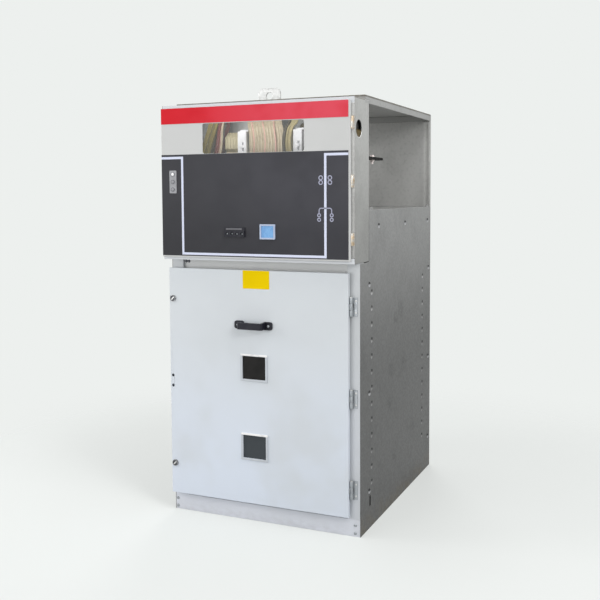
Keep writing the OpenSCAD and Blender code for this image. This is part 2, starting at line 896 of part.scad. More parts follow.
// Picture frames pressed into the window openings
module door_window_frames() {
    color([0.93, 0.94, 0.95]) through(door_y0 - win_frame_t, door_y0) for (z = win_mids) difference() {
        window_hole(z, win_frame_w);
        window_hole(z, 0);
    }
}

// Panes that close the window openings
module door_window_panes() {
    color([0.15, 0.15, 0.16]) through(door_y0 + sheet, door_y0 + sheet + pane_t)
        for (z = win_mids) window_hole(z, pane_lap);
}

// Bow handle seen from above: a grip with bevelled corners on two legs
handle_leg = handle_l / 2 - handle_foot;
handle_inside = handle_leg - grip_t;

module handle_bow() {
    bevel = grip_t / 2;
    polygon([
        [-handle_leg, 0], [-handle_leg, bevel - handle_out], [bevel - handle_leg, -handle_out],
        [handle_leg - bevel, -handle_out], [handle_leg, bevel - handle_out], [handle_leg, 0],
        [handle_inside, 0], [handle_inside, grip_t - handle_out],
        [-handle_inside, grip_t - handle_out], [-handle_inside, 0]
    ]);
}

module door_handle() {
    mid = door_z0 + handle_z;
    color(black) translate([door_mid, door_y0, 0]) {
        upright(mid - grip_h / 2, mid + grip_h / 2) handle_bow();
        both_sides() through(-handle_foot_t, 0)
            round_plate([handle_inside, mid - handle_h / 2], [handle_l / 2, mid + handle_h / 2], handle_foot / 3);
    }
}

// Round lock with a well and a slanted key bar across it
module door_locks() {
    well = lock_r * 2 / 3;
    bar = lock_r / 3;
    color([0.45, 0.45, 0.47]) for (z = lock_mids) translate([door_x0 + lock_x, door_y0, z]) rotate([90, 0, 0]) {
        difference() {
            cylinder(r = lock_r, h = lock_t);
            translate([0, 0, lock_t / 3]) cylinder(r = well, h = lock_t);
        }
        rotate([0, 0, 45]) translate([-well - cut, -bar / 2, 0]) cube([2 * well + 2 * cut, bar, lock_t]);
    }
}

module place() {
    translate([0, -depth_mid, 0]) children();
}

place() front_plinth();
place() rear_plinth();
place() left_base_rail();
place() right_base_rail();
place() anchor_plates();
place() floor_plate();
place() left_front_post();
place() right_front_post();
place() header_rail();
place() left_side_panel();
place() right_side_panel();
place() lower_rear_panel();
place() upper_rear_cover();
place() busbar_floor();
place() roof_panel();
place() lifting_lugs();
place() box_left_wall();
place() box_right_wall();
place() box_top();
place() box_bottom();
place() box_back();
place() instrument_panel();
place() title_band();
place() mimic_fascia();
place() window_pane();
place() live_indicator();
place() test_terminals();
place() display_bezel();
place() display_screen();
place() panel_hinges();
place() equipment_rail();
place() terminal_blocks();
place() breaker_bodies();
place() wire_looms();
place() busbar_support();
place() support_washers();
place() joining_tabs();
place() hinge_post_leaves();
place() hinge_pins();
place() door_panel();
place() door_handle();
place() door_locks();
place() door_window_frames();
place() door_window_panes();
place() hinge_door_leaves();
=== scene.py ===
"""Looks of a switchgear cubicle: finishes, printed lines, fasteners, lips, wiring, light and camera.

Lengths are metres in the frame's axes: +X to the viewer's right, -Y to the front, +Z up.
"""
import json
import math

import bmesh
import bpy
from mathutils import Matrix, Vector


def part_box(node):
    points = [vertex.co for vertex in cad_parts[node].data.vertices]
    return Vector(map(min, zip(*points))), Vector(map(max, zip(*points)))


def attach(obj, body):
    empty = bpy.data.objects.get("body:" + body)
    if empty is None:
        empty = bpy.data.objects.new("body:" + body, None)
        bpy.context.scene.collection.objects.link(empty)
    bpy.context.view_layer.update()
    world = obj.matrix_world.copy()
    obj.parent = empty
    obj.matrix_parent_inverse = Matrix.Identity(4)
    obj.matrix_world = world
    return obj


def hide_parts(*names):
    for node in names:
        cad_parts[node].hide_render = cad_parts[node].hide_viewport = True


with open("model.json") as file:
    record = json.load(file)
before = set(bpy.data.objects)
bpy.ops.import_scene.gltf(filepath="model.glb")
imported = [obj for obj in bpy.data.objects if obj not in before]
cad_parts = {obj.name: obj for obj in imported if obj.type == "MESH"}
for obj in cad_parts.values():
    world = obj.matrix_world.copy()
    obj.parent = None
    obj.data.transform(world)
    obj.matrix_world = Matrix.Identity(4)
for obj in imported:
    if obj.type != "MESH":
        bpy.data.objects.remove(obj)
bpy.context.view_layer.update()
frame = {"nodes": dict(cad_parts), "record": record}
nodes = frame["nodes"]
scene = bpy.context.scene

# Camera: the photograph's place, turn in degrees, and focal length and middle row in its pixels
PHOTO_SIDE = 600
CAMERA_PLACE = Vector((1.4655, -3.4206, 1.2765))
CAMERA_TURN = (23.683, 3.992, -0.301)
FOCAL_PX = 869.3
MIDDLE_ROW = 255.0
SENSOR = 36.0

# Directions that a fastener or a print can face
FRONT = Vector((0, -1, 0))
REAR = Vector((0, 1, 0))
RIGHT = Vector((1, 0, 0))
LEFT = Vector((-1, 0, 0))
UP = Vector((0, 0, 1))


def srgb(red, green, blue):
    """Linear colour of 8-bit screen values."""
    def linear(value):
        value /= 255
        return value / 12.92 if value <= 0.04045 else ((value + 0.055) / 1.055) ** 2.4
    return tuple(linear(v) for v in (red, green, blue))


def shade(colour, factor):
    """A colour made darker or lighter by one factor."""
    return tuple(min(1.0, c * factor) for c in colour)


# Colours
BACKDROP = srgb(237, 240, 238)
# Paler zinc: partly the sheet's own tone, partly painted light that lifts shaded inside faces
LIGHT_ZINC = srgb(184, 184, 182)
YELLOW_ZINC = srgb(190, 164, 126)
GRIME = srgb(92, 84, 70)


class Graph:
    """The node tree of a material or of the world."""

    def __init__(self, tree):
        self.tree = tree

    def set(self, socket, value):
        """Links a socket to another one, or gives it a plain value."""
        if isinstance(value, bpy.types.NodeSocket):
            self.tree.links.new(value, socket)
        else:
            socket.default_value = value

    def add(self, kind, inputs=None, **settings):
        node = self.tree.nodes.new(kind)
        for name, value in settings.items():
            setattr(node, name, value)
        for name, value in (inputs or {}).items():
            self.set(node.inputs[name], value)
        return node

    def ramp(self, value, low, high, start=0.0, end=1.0):
        inputs = {"Value": value, "From Min": low, "From Max": high, "To Min": start, "To Max": end}
        return self.add("ShaderNodeMapRange", inputs, interpolation_type="SMOOTHSTEP").outputs["Result"]

    def maths(self, operation, first, second):
        return self.add("ShaderNodeMath", {0: first, 1: second}, operation=operation).outputs["Value"]

    def vector(self, operation, output, *values):
        node = self.add("ShaderNodeVectorMath", dict(enumerate(values)), operation=operation)
        return node.outputs[output]

    def times(self, first, second):
        return self.maths("MULTIPLY", first, second)

    def band(self, value, begin, full, fade, end):
        """1 from full to fade, and 0 before begin and beyond end."""
        return self.times(self.ramp(value, begin, full), self.ramp(value, end, fade))


class Finish(Graph):
    """A procedural finish: one Principled shader fed by patterns in the frame's own coordinates."""

    def __init__(self, name, colour, rough, metal=0.0, **sockets):
        self.material = bpy.data.materials.new(name)
        self.material.use_nodes = True
        super().__init__(self.material.node_tree)
        self.shader = self.tree.nodes["Principled BSDF"]
        self.set(self.shader.inputs["Base Color"], (*colour, 1.0))
        self.set(self.shader.inputs["Roughness"], rough)
        self.set(self.shader.inputs["Metallic"], metal)
        for socket, value in sockets.items():
            self.set(self.shader.inputs[socket.replace("_", " ")], value)
        self.place = self.add("ShaderNodeTexCoord").outputs["Object"]
        self.base = colour
        self.colour = (*colour, 1.0)
        self.rough = rough
        self.normal = None

    def stretched(self, stretch):
        """The place, with each axis scaled, for streaks and brushing."""
        return self.add("ShaderNodeMapping", {"Vector": self.place, "Scale": stretch}).outputs["Vector"]

    def noise(self, scale, detail=2.0, stretch=(1, 1, 1)):
        inputs = {"Vector": self.stretched(stretch), "Scale": scale, "Detail": detail, "Roughness": 0.55}
        return self.add("ShaderNodeTexNoise", inputs).outputs["Fac"]

    def spots(self, scale, detail, low, high, amount):
        """Patches where a noise is high, up to an amount."""
        return self.ramp(self.noise(scale, detail), low, high, 0.0, amount)

    def cells(self, scale, stretch=(1, 1, 1)):
        """One random value for each cell of a crystal-like pattern."""
        found = self.add("ShaderNodeTexVoronoi", {"Vector": self.stretched(stretch), "Scale": scale})
        return self.add("ShaderNodeSeparateColor", {"Color": found.outputs["Color"]}).outputs["Red"]

    def axis(self, name):
        return self.add("ShaderNodeSeparateXYZ", {"Vector": self.place}).outputs[name]

    def edges(self, radius):
        """High along convex and concave edges."""
        soft = self.add("ShaderNodeBevel", {"Radius": radius}, samples=4).outputs["Normal"]
        flat = self.add("ShaderNodeNewGeometry").outputs["Normal"]
        return self.ramp(self.vector("DOT_PRODUCT", "Value", soft, flat), 0.995, 0.80)

    def lean(self):
        """How far a surface leans up, from -1 to 1."""
        normal = self.add("ShaderNodeNewGeometry").outputs["Normal"]
        return self.add("ShaderNodeSeparateXYZ", {"Vector": normal}).outputs["Z"]

    def tint(self, colour, factor, blend="MIX"):
        """Lays another colour over the finish, or multiplies it in."""
        inputs = {"Factor": factor, 6: self.colour, 7: (*colour, 1.0)}
        self.colour = self.add("ShaderNodeMix", inputs, data_type="RGBA", blend_type=blend).outputs[2]

    def tone(self, factor, amount):
        """Lays a darker or lighter shade of the finish's own colour over it."""
        self.tint(shade(self.base, factor), amount)

    def roughen(self, factor, start, end):
        self.rough = self.ramp(factor, 0.3, 0.7, start, end)

    def bump(self, height, distance, strength=1.0):
        inputs = {"Height": height, "Distance": distance, "Strength": strength}
        if self.normal is not None:
            inputs["Normal"] = self.normal
        self.normal = self.add("ShaderNodeBump", inputs).outputs["Normal"]

    def done(self):
        self.set(self.shader.inputs["Base Color"], self.colour)
        self.set(self.shader.inputs["Roughness"], self.rough)
        if self.normal is not None:
            self.set(self.shader.inputs["Normal"], self.normal)
        return self.material


def powder_coat(name, colour, rough=0.45, grime=0.16, painted_low_light=None):
    """Baked paint with a fine orange peel, faint clouds, dust low down, rubbed edges and an optional painted
    light cast low down.
    """
    f = Finish(name, colour, rough, Specular_IOR_Level=0.4)
    peel = f.noise(700)
    if painted_low_light:
        # Painted light: lighter and bluer towards the floor
        f.tint(painted_low_light, f.ramp(f.axis("Z"), 0.85, 0.15, 0.0, 0.9))
    f.tone(0.95, f.spots(2.6, 3.0, 0.44, 0.70, 0.7))
    f.tone(1.05, f.ramp(peel, 0.52, 0.74, 0.0, 0.5))
    f.tone(0.80, f.times(f.ramp(f.noise(230, 4.0), 0.70, 0.80), 0.5))
    low = f.ramp(f.axis("Z"), 0.055, 0.0)
    f.tint(GRIME, f.times(f.times(low, f.ramp(f.noise(30, 5.0, (1, 1, 2.0)), 0.30, 0.72)), grime))
    rub = f.times(f.edges(0.0022), f.ramp(f.noise(55, 4.0), 0.42, 0.62))
    f.tone(0.72, f.times(rub, 0.22))
    f.roughen(f.noise(36, 3.0), rough - 0.06, rough + 0.08)
    f.bump(peel, 0.00012, 0.5)
    f.bump(f.noise(3.4, 1.0), 0.0025, 0.25)
    return f.done()


# Handling marks on the right side panel: depth, height and radius
SMUDGES = ((0.093, 0.561, 0.065), (-0.017, 0.764, 0.050), (0.229, 0.252, 0.065), (-0.088, 0.432, 0.055),
           (-0.075, 0.565, 0.060), (0.058, 0.801, 0.055), (-0.027, 0.196, 0.050), (0.215, 0.025, 0.090),
           (0.110, 0.040, 0.060))
SMUDGE_TONE = (0.64, 0.64, 0.64)
# Tones of faint clouds, and the painted light and shade on a dimple's lower and upper half, the roof's outer
# lip and the rear cover by its lips
CLOUD_TONE = (0.80, 0.80, 0.80)
DIMPLE_PAINTED_HIGHLIGHT = (2.4, 2.4, 2.4)
DIMPLE_PAINTED_SHADE = (0.34, 0.34, 0.34)
ROOF_LIP_PAINTED_SHADE = (0.84, 0.84, 0.85)
BESIDE_LIPS_PAINTED_LIGHT = (1.6, 1.6, 1.6)
# Widths over which a sheet turns into the cubicle's right side, where the painted shade towards the floor is
# strongest
RIGHT_SIDE = (0.300, 0.392)
# Heights between which dirt begins on the roof's edge, and where the upper box's top edge turns darker
ROOF_DUST = (1.6305, 1.6338)
BOX_EDGE = (1.6165, 1.6195)
# Depths that bound the roof's front edge and the inner face of its rear lip, which stays in shade, and the
# heights where the roof's lips begin
ROOF_FRONT = (-0.388, -0.394)
REAR_LIP = (0.500, 0.506, 0.5166, 0.5171)
LIP_FOOT = (1.6086, 1.6096)


def galvanised(name, colour, rough=0.46, floor_shade_tone=0.32, floor_shade_heights=(1.29, 0.57), grime=0.75, mottle=0.18,
               painted_light_sides=None):
    """Zinc-coated sheet with a quiet spangle, roll streaks, handling marks and painted shade towards the
    floor.

    Dirt lies near the floor and along the top edges, and pressed dimples get a painted highlight below and
    painted shade above.
    Its last argument gives widths between which a sheet gets painted light near both its sides, which lifts
    the shadow of lips there.
    """
    f = Finish(name, colour, rough, metal=0.45)
    spangle = f.cells(150, (1, 1, 0.8))
    grain = f.noise(420, 3.0)
    streak = f.noise(9, 4.0, (9, 9, 0.5))
    height = f.axis("Z")
    # Painted shade: sheets grow darker towards the floor, most on the right side
    right_side = f.ramp(f.axis("X"), *RIGHT_SIDE, 0.40, 1.0)
    f.tone(floor_shade_tone, f.times(f.ramp(height, *floor_shade_heights), right_side))
    f.tone(0.55, f.ramp(spangle, 0.0, 1.0, 0.0, 0.05))
    f.tone(1.30, f.ramp(grain, 0.50, 0.80, 0.0, 0.09))
    f.tone(0.60, f.ramp(streak, 0.50, 0.75, 0.0, 0.08))
    f.tone(0.62, f.spots(64, 4.0, 0.48, 0.74, mottle))
    f.tint(CLOUD_TONE, f.spots(7, 3.0, 0.44, 0.72, 0.6), "MULTIPLY")
    f.tone(0.50, f.spots(13, 5.0, 0.60, 0.80, 0.30))
    ragged = f.times(f.ramp(f.noise(44, 5.0), 0.36, 0.60, 0.25, 1.0), f.ramp(f.axis("X"), 0.0, 0.1))
    for depth, level, radius in SMUDGES:
        offset = f.vector("SUBTRACT", "Vector", f.place, (0, depth, level))
        away = f.vector("LENGTH", "Value", f.vector("MULTIPLY", "Vector", offset, (0, 1, 1)))
        f.tint(SMUDGE_TONE, f.times(f.ramp(away, radius, 0.0), ragged), "MULTIPLY")
    f.tint(GRIME, f.times(f.ramp(height, 0.10, 0.0), f.spots(22, 5.0, 0.32, 0.66, grime)))
    lean, depth = f.lean(), f.axis("Y")
    patches = f.noise(16, 5.0)
    roof_top = f.times(f.ramp(height, *ROOF_DUST), f.ramp(lean, 0.5, 0.8))
    upright = f.band(lean, 0.6, 0.3, -0.3, -0.6)
    roof_edge = f.times(f.ramp(height, *ROOF_DUST), upright)
    # Painted shade on the roof's upright lips behind its front edge
    lip_side_shade = f.times(f.times(f.ramp(height, *LIP_FOOT), upright), f.ramp(depth, *reversed(ROOF_FRONT)))
    f.tint(ROOF_LIP_PAINTED_SHADE, lip_side_shade, "MULTIPLY")
    f.tint(GRIME, f.times(roof_top, f.ramp(patches, 0.25, 0.70, 0.15, 0.40)))
    f.tint(shade(GRIME, 0.8), f.times(roof_edge, f.ramp(patches, 0.25, 0.70, 0.55, 0.85)))
    # Darker brown tone along the upper box's top edge
    box_edge = f.times(f.ramp(height, *BOX_EDGE), f.ramp(depth, *ROOF_FRONT))
    f.tint(shade(GRIME, 0.7), f.times(box_edge, f.ramp(patches, 0.25, 0.70, 0.40, 0.70)))
    # Painted shade on the inner face of the roof's rear lip
    f.tone(0.72, f.times(f.band(depth, *REAR_LIP), f.ramp(height, *LIP_FOOT)))
    # Painted highlight on surfaces that lean up and painted shade on those that lean down, as in a pressed
    # dimple
    f.tint(DIMPLE_PAINTED_HIGHLIGHT, f.band(lean, 0.03, 0.32, 0.80, 0.95), "MULTIPLY")
    f.tint(DIMPLE_PAINTED_SHADE, f.band(lean, -0.03, -0.36, -0.80, -0.95), "MULTIPLY")
    f.tone(1.20, f.times(f.edges(0.0016), f.spots(60, 3.0, 0.40, 0.65, 0.2)))
    if painted_light_sides:
        # Painted light beside the rear cover's lips, which lifts the shadow that the lips cast
        across = f.maths("ABSOLUTE", f.axis("X"), 0.0)
        f.tint(BESIDE_LIPS_PAINTED_LIGHT, f.band(across, *painted_light_sides), "MULTIPLY")
    f.roughen(spangle, rough - 0.04, rough + 0.04)
    f.bump(grain, 0.0001, 0.35)
    f.bump(f.noise(5.5), 0.0025, 0.20)
    return f.done()


# Where the instrument panel's hinges lie in width and depth, and tones of the painted shade and painted
# highlight on a screw head's two halves
PANEL_HINGE_XS = (0.372, 0.380)
PANEL_HINGE_YS = (-0.46, -0.48)
SCREW_TOP_PAINTED_SHADE = (0.10, 0.10, 0.10)
SCREW_FOOT_PAINTED_HIGHLIGHT = (1.8, 1.8, 1.8)


def plated(name, colour, rough=0.32, warm_hinges=False, metal=0.75, painted_light_halves=False):
    """Plated steel with fine scratches and dull spots.

    It can carry a yellow cast on the instrument panel's hinges, or painted shade on the upper half of screw
    heads and a painted highlight on their lower half.
    """
    f = Finish(name, colour, rough, metal)
    scratch = f.noise(160, 3.0, (1, 1, 0.06))
    if warm_hinges:
        beside_panel = f.times(f.ramp(f.axis("X"), *PANEL_HINGE_XS), f.ramp(f.axis("Y"), *PANEL_HINGE_YS))
        f.tint(YELLOW_ZINC, f.times(beside_panel, f.ramp(f.noise(48, 3.0), 0.36, 0.62, 0.10, 0.8)))
    f.tone(0.72, f.ramp(scratch, 0.52, 0.72, 0.0, 0.55))
    f.tone(0.55, f.spots(120, 5.0, 0.60, 0.76, 0.5))
    f.tone(1.15, f.times(f.edges(0.0012), 0.5))
    if painted_light_halves:
        # Painted shade on the upper half of a screw head and a painted highlight on its lower half
        f.tint(SCREW_TOP_PAINTED_SHADE, f.ramp(f.lean(), 0.00, 0.25), "MULTIPLY")
        f.tint(SCREW_FOOT_PAINTED_HIGHLIGHT, f.ramp(f.lean(), -0.02, -0.30), "MULTIPLY")
    f.roughen(f.noise(90, 3.0), rough - 0.08, rough + 0.14)
    f.bump(scratch, 0.00008, 0.4)
    return f.done()


# Widths over which a film's painted sheen grows, and how dim a film gets low down
PAINTED_SHEEN_XS = (-0.45, 0.25)
DIM_TONE = (0.68, 0.68, 0.68)


def film(name, colour, rough=0.46, painted_sheen=None, dim=None, shine=0.12):
    """Printed film with fine grain and a few scuffs.

    It can take on a painted sheen towards the right, and grow dim between two heights.
    """
    f = Finish(name, colour, rough, Specular_IOR_Level=shine)
    grain = f.noise(850)
    scuff = f.noise(26, 5.0, (0.5, 1, 5))
    if painted_sheen:
        # Painted sheen, growing towards the right
        f.tint(painted_sheen, f.ramp(f.axis("X"), *PAINTED_SHEEN_XS, 0.0, 0.8))
    if dim:
        f.tint(DIM_TONE, f.ramp(f.axis("Z"), *dim), "MULTIPLY")
    f.tone(0.90, f.spots(4.5, 3.0, 0.42, 0.70, 0.6))
    f.tone(1.16, f.ramp(grain, 0.48, 0.76, 0.0, 0.5))
    f.tone(1.35, f.ramp(scuff, 0.68, 0.80, 0.0, 0.30))
    f.roughen(f.noise(12, 4.0), rough - 0.05, rough + 0.10)
    f.bump(grain, 0.00006, 0.35)
    return f.done()


def moulded(name, colour, rough=0.42, glow=0.10, shine=0.40):
    """Moulded plastic with a fine grain and lighter rubbed edges."""
    f = Finish(name, colour, rough, Specular_IOR_Level=shine)
    grain = f.noise(1300)
    f.tone(0.84, f.spots(40, 3.0, 0.42, 0.70, 0.6))
    lighter = tuple(c + glow for c in colour)
    f.tint(lighter, f.times(f.edges(0.0012), f.spots(90, 3.0, 0.40, 0.65, 0.55)))
    f.roughen(f.noise(60, 3.0), rough - 0.06, rough + 0.10)
    f.bump(grain, 0.00010, 0.4)
    return f.done()


# Door window frames: their height and the width of their bars
PANE_FRAME_H = 0.106
PANE_BAR = 0.008


def window_frame_plastic(name):
    """Moulded frame plastic, whiter along each frame's upper bar as a painted highlight."""
    f = Finish(name, srgb(192, 197, 203), 0.42, Specular_IOR_Level=0.4)
    low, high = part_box("door_window_frames")
    height = f.axis("Z")
    for top in (high.z, low.z + PANE_FRAME_H):
        # Painted highlight along each frame's upper bar
        bar = f.band(height, top - PANE_BAR, top - 0.7 * PANE_BAR, top + 0.001, top + 0.002)
        f.tint(srgb(244, 243, 242), bar)
    f.tone(0.86, f.spots(40, 3.0, 0.46, 0.72, 0.4))
    f.roughen(f.noise(60, 3.0), 0.36, 0.52)
    f.bump(f.noise(1300), 0.00010, 0.4)
    return f.done()


def clear_sheet(name, colour, alpha, rough=0.06):
    """Clear plastic pane with a faint tint and dust."""
    f = Finish(name, colour, rough, Specular_IOR_Level=0.3, Alpha=alpha)
    f.tone(0.80, f.spots(30, 5.0, 0.45, 0.75, 0.6))
    f.roughen(f.noise(24, 4.0), rough, rough + 0.10)
    return f.done()


def glass_with_painted_inside(name):
    """Dark panes whose colour is painted shade for the unlit compartment behind them, with specks of dust.
    """
    f = Finish(name, srgb(22, 20, 19), 0.10, Specular_IOR_Level=0.08)
    f.tint(srgb(12, 11, 10), f.ramp(f.noise(16, 3.0), 0.38, 0.66))
    # Painted light: the lower pane is paler than the upper one, for the pale inside of the compartment
    # behind it
    f.tint(srgb(74, 79, 83), f.ramp(f.axis("Z"), 0.50, 0.40, 0.0, 0.85))
    f.tint(srgb(110, 110, 108), f.spots(70, 5.0, 0.66, 0.80, 0.20))
    f.roughen(f.noise(40, 4.0), 0.07, 0.22)
    return f.done()


def screen_glass(name):
    """Plain blue display, a little cloudy, with fine pale specks."""
    f = Finish(name, srgb(106, 162, 214), 0.22, Specular_IOR_Level=0.3)
    f.tint(srgb(84, 140, 202), f.spots(50, 2.0, 0.40, 0.65, 0.6))
    f.tint(srgb(140, 188, 228), f.ramp(f.cells(900), 0.55, 1.0, 0.0, 0.45))
    return f.done()


def sleeve(name, colour):
    """Wire insulation, slightly waxy, with scuffs."""
    f = Finish(name, colour, 0.40, Specular_IOR_Level=0.45)
    f.tone(0.70, f.spots(85, 4.0, 0.45, 0.72, 0.7))
    f.tone(1.25, f.spots(300, 2.0, 0.55, 0.78, 0.5))
    f.roughen(f.noise(120, 3.0), 0.32, 0.52)
    f.bump(f.noise(500), 0.0001, 0.4)
    return f.done()


FINISH = {
    "painted_frame": powder_coat("frame_paint", srgb(206, 209, 213), painted_low_light=srgb(221, 224, 233)),
    "galvanised": galvanised("galvanised_sheet", srgb(147, 147, 147)),
    "light_zinc": galvanised("light_zinc_sheet", LIGHT_ZINC, 0.50, 0.60, (1.56, 0.97), 0.0),
    "bright_steel": plated("bright_plating", srgb(196, 196, 195), 0.40, True),
    "hinge_steel": plated("hinge_plating", srgb(164, 168, 172), 0.42),
    "panel_paint": powder_coat("panel_paint", srgb(195, 196, 195), 0.42, 0.0),
    "red_film": film("red_film", srgb(206, 24, 38), 0.46, srgb(216, 84, 100)),
    "dark_film": film("dark_film", srgb(60, 60, 64), 0.48, srgb(72, 72, 78), (1.34, 1.06)),
    "clear_pane": clear_sheet("clear_pane", srgb(225, 230, 228), 0.06),
    "indicator_plastic": moulded("indicator_plastic", srgb(152, 153, 157), 0.35),
    "black_plastic": moulded("black_plastic", srgb(27, 27, 36), 0.44, 0.02, 0.22),
    "bezel_plastic": moulded("bezel_plastic", srgb(170, 182, 206), 0.32),
    "blue_screen": screen_glass("blue_screen"),
    "beige_plastic": moulded("beige_plastic", srgb(205, 194, 158), 0.45),
    "white_plastic": moulded("white_plastic", srgb(244, 244, 246), 0.38),
    "pane_frame": window_frame_plastic("pane_frame_plastic"),
    "wire_sleeve": sleeve("olive_sleeve", srgb(138, 122, 52)),
    "door_paint": powder_coat("door_paint", srgb(208, 213, 217), painted_low_light=srgb(216, 224, 237)),
    "lock_metal": plated("lock_metal", srgb(84, 85, 90), 0.38),
    "dark_glass": glass_with_painted_inside("dark_glass"),
}
PALE_PRINT = film("pale_print", srgb(214, 219, 238), 0.45)
THIN_PRINT = film("fine_print", srgb(166, 168, 188), 0.45)
DIM_PRINT = film("dim_print", srgb(104, 104, 108), 0.45)
YELLOW_FILM = film("yellow_film", srgb(240, 206, 2), 0.50, shine=0.02)
BROWN_SLEEVE = sleeve("brown_sleeve", srgb(112, 36, 26))
DARK_SLEEVE = sleeve("dark_sleeve", srgb(30, 28, 26))
DEEP_OLIVE_SLEEVE = sleeve("deep_olive_sleeve", srgb(78, 62, 12))
UMBER_SLEEVE = sleeve("umber_sleeve", srgb(58, 48, 26))
CREAM_SLEEVE = sleeve("cream_sleeve", srgb(190, 176, 149))
TAN_SLEEVE = sleeve("tan_sleeve", srgb(172, 158, 112))
PINK_SLEEVE = sleeve("pink_sleeve", srgb(216, 172, 156))
SIDE_SCREW_PLATING = plated("side_screw_plating", srgb(150, 151, 153), 0.60, metal=0.10, painted_light_halves=True)
# Painted shade: a darker copy of the frame paint for the front posts
SHADED_POST_COAT = powder_coat("post_paint_shaded", srgb(197, 200, 202), painted_low_light=srgb(211, 214, 221))
WHITE_LENS = moulded("white_lens", srgb(250, 250, 250), 0.18)
DARK_LENS = moulded("dark_lens", srgb(84, 84, 92), 0.25)

# Nodes whose finish differs a little from that of their slot
OWN_FINISH = {
    "support_washers": plated("washer_plating", srgb(240, 230, 226), 0.40, metal=0.25),
    "busbar_support": moulded("support_plastic", srgb(10, 8, 9), 0.60, 0.0, 0.10),
    "upper_rear_cover": galvanised("rear_zinc_sheet", LIGHT_ZINC, 0.50, 0.60, (1.56, 0.97), 0.0, 0.45,
                                   (0.358, 0.384, 0.394, 0.397)),
    # Painted light: a paler copy of the frame paint that lifts the shade under the upper box
    "header_rail": powder_coat("header_paint_lit", srgb(218, 219, 218)),
    "left_front_post": SHADED_POST_COAT,
    "right_front_post": SHADED_POST_COAT,
}


def dress_nodes():
    """Gives each node of the frame its slot's finish, or its own."""
    for part in frame["record"]["subparts"]:
        for holder in nodes[part["node"]].material_slots:
            holder.material = OWN_FINISH.get(part["node"], FINISH[part["material_slot"]])


# Rounding of folds and of small nodes' edges, the gap that is welded first, and the least turn of a fold
EDGE_ROUND = 0.0012
SMALL_EDGE_ROUND = 0.0006
WELD_GAP = 0.00001
FOLD_TURN = math.radians(40)
SMALL_NODES = ("live_indicator", "display_bezel", "test_terminals")
SOFT_NODES = ("door_panel", "door_handle", "door_window_frames", "front_plinth", "rear_plinth",
              "left_front_post", "right_front_post", "header_rail", "left_side_panel", "right_side_panel",
              "lower_rear_panel", "upper_rear_cover", "roof_panel", "lifting_lugs", "box_left_wall",
              "box_right_wall", "box_top", "box_bottom", "instrument_panel", *SMALL_NODES, "breaker_bodies",
              "busbar_support", "hinge_post_leaves", "hinge_door_leaves", "panel_hinges")


def soften_edges():
    """Rounds the sharp folds a little, so that they catch the light."""
    for name in SOFT_NODES:
        weld = nodes[name].modifiers.new("weld", "WELD")
        weld.merge_threshold = WELD_GAP
        bevel = nodes[name].modifiers.new("soft_edges", "BEVEL")
        bevel.width = SMALL_EDGE_ROUND if name in SMALL_NODES else EDGE_ROUND
        bevel.segments = 2
        bevel.limit_method = "ANGLE"
        bevel.angle_limit = FOLD_TURN


# Turn in degrees above which an edge of a piece stays sharp
CREASE = 35.0


def piece(name, mesh_work, material, body):
    """Turns mesh work into a piece that rides on a body."""
    mesh = bpy.data.meshes.new(name)
    mesh_work.normal_update()
    mesh_work.to_mesh(mesh)
    mesh_work.free()
    mesh.polygons.foreach_set("use_smooth", [True] * len(mesh.polygons))
    mesh.set_sharp_from_angle(angle=math.radians(CREASE))
    mesh.materials.append(material)
    made = bpy.data.objects.new(name, mesh)
    scene.collection.objects.link(made)
    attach(made, body)
    return made


def facing(place, direction):
    """Matrix that stands a piece drawn along +Z on a place, pointing in a direction."""
    return Matrix.Translation(place) @ direction.to_track_quat("Z", "Y").to_matrix().to_4x4()


def around(sides):
    """Cosine and sine of evenly spaced turns."""
    turns = [2 * math.pi * i / sides for i in range(sides)]
    return [(math.cos(a), math.sin(a)) for a in turns]


def lathe(work, profile, matrix, sides=20):
    """Adds a turned shape: a profile of radius and height from its middle out to its foot."""
    rings = []
    for radius, height in profile:
        if radius == 0:
            rings.append([work.verts.new(matrix @ Vector((0, 0, height)))])
            continue
        ring = [Vector((radius * c, radius * s, height)) for c, s in around(sides)]
        rings.append([work.verts.new(matrix @ p) for p in ring])
    for inner, outer in zip(rings, rings[1:]):
        for i in range(sides):
            j = (i + 1) % sides
            if len(inner) == 1:
                work.faces.new((inner[0], outer[i], outer[j]))
            else:
                work.faces.new((inner[i], outer[i], outer[j], inner[j]))


def socket_head(radius, height):
    """Profile of a button-head screw with a round driving recess."""
    shares = ((0, 0.30), (0.40, 0.32), (0.44, 0.96), (0.60, 1), (0.84, 0.74), (0.97, 0.30), (1, 0))
    return [(r * radius, h * height) for r, h in shares]


def dome_head(radius, height):
    """Profile of a low round head."""
    return [(0, height), (0.45 * radius, 0.92 * height), (0.80 * radius, 0.55 * height), (radius, 0)]


def turned(name, places, direction, profile, body, slot=None, material=None):
    """One piece with the same turned shape at each place, all facing one way."""
    work = bmesh.new()
    for place in places:
        lathe(work, profile, facing(Vector(place), direction))
    piece(name, work, material or FINISH[slot], body)


# Thickness of printed lines
LINE_T = 0.0004


def flat_band(work, left, right, surface, closed=False):
    """Adds a thin printed band between two rows of points in width and height, on a front surface."""
    def rows(depth):
        return [[work.verts.new((x, depth, z)) for x, z in side] for side in (left, right)]
    outer, inner = rows(surface - LINE_T), rows(surface)
    count = len(left)
    for i in range(count if closed else count - 1):
        j = (i + 1) % count
        work.faces.new((outer[0][i], outer[0][j], outer[1][j], outer[1][i]))
        for side in (0, 1):
            work.faces.new((inner[side][i], inner[side][j], outer[side][j], outer[side][i]))
    if not closed:
        for i in (0, count - 1):
            work.faces.new((outer[0][i], outer[1][i], inner[1][i], inner[0][i]))


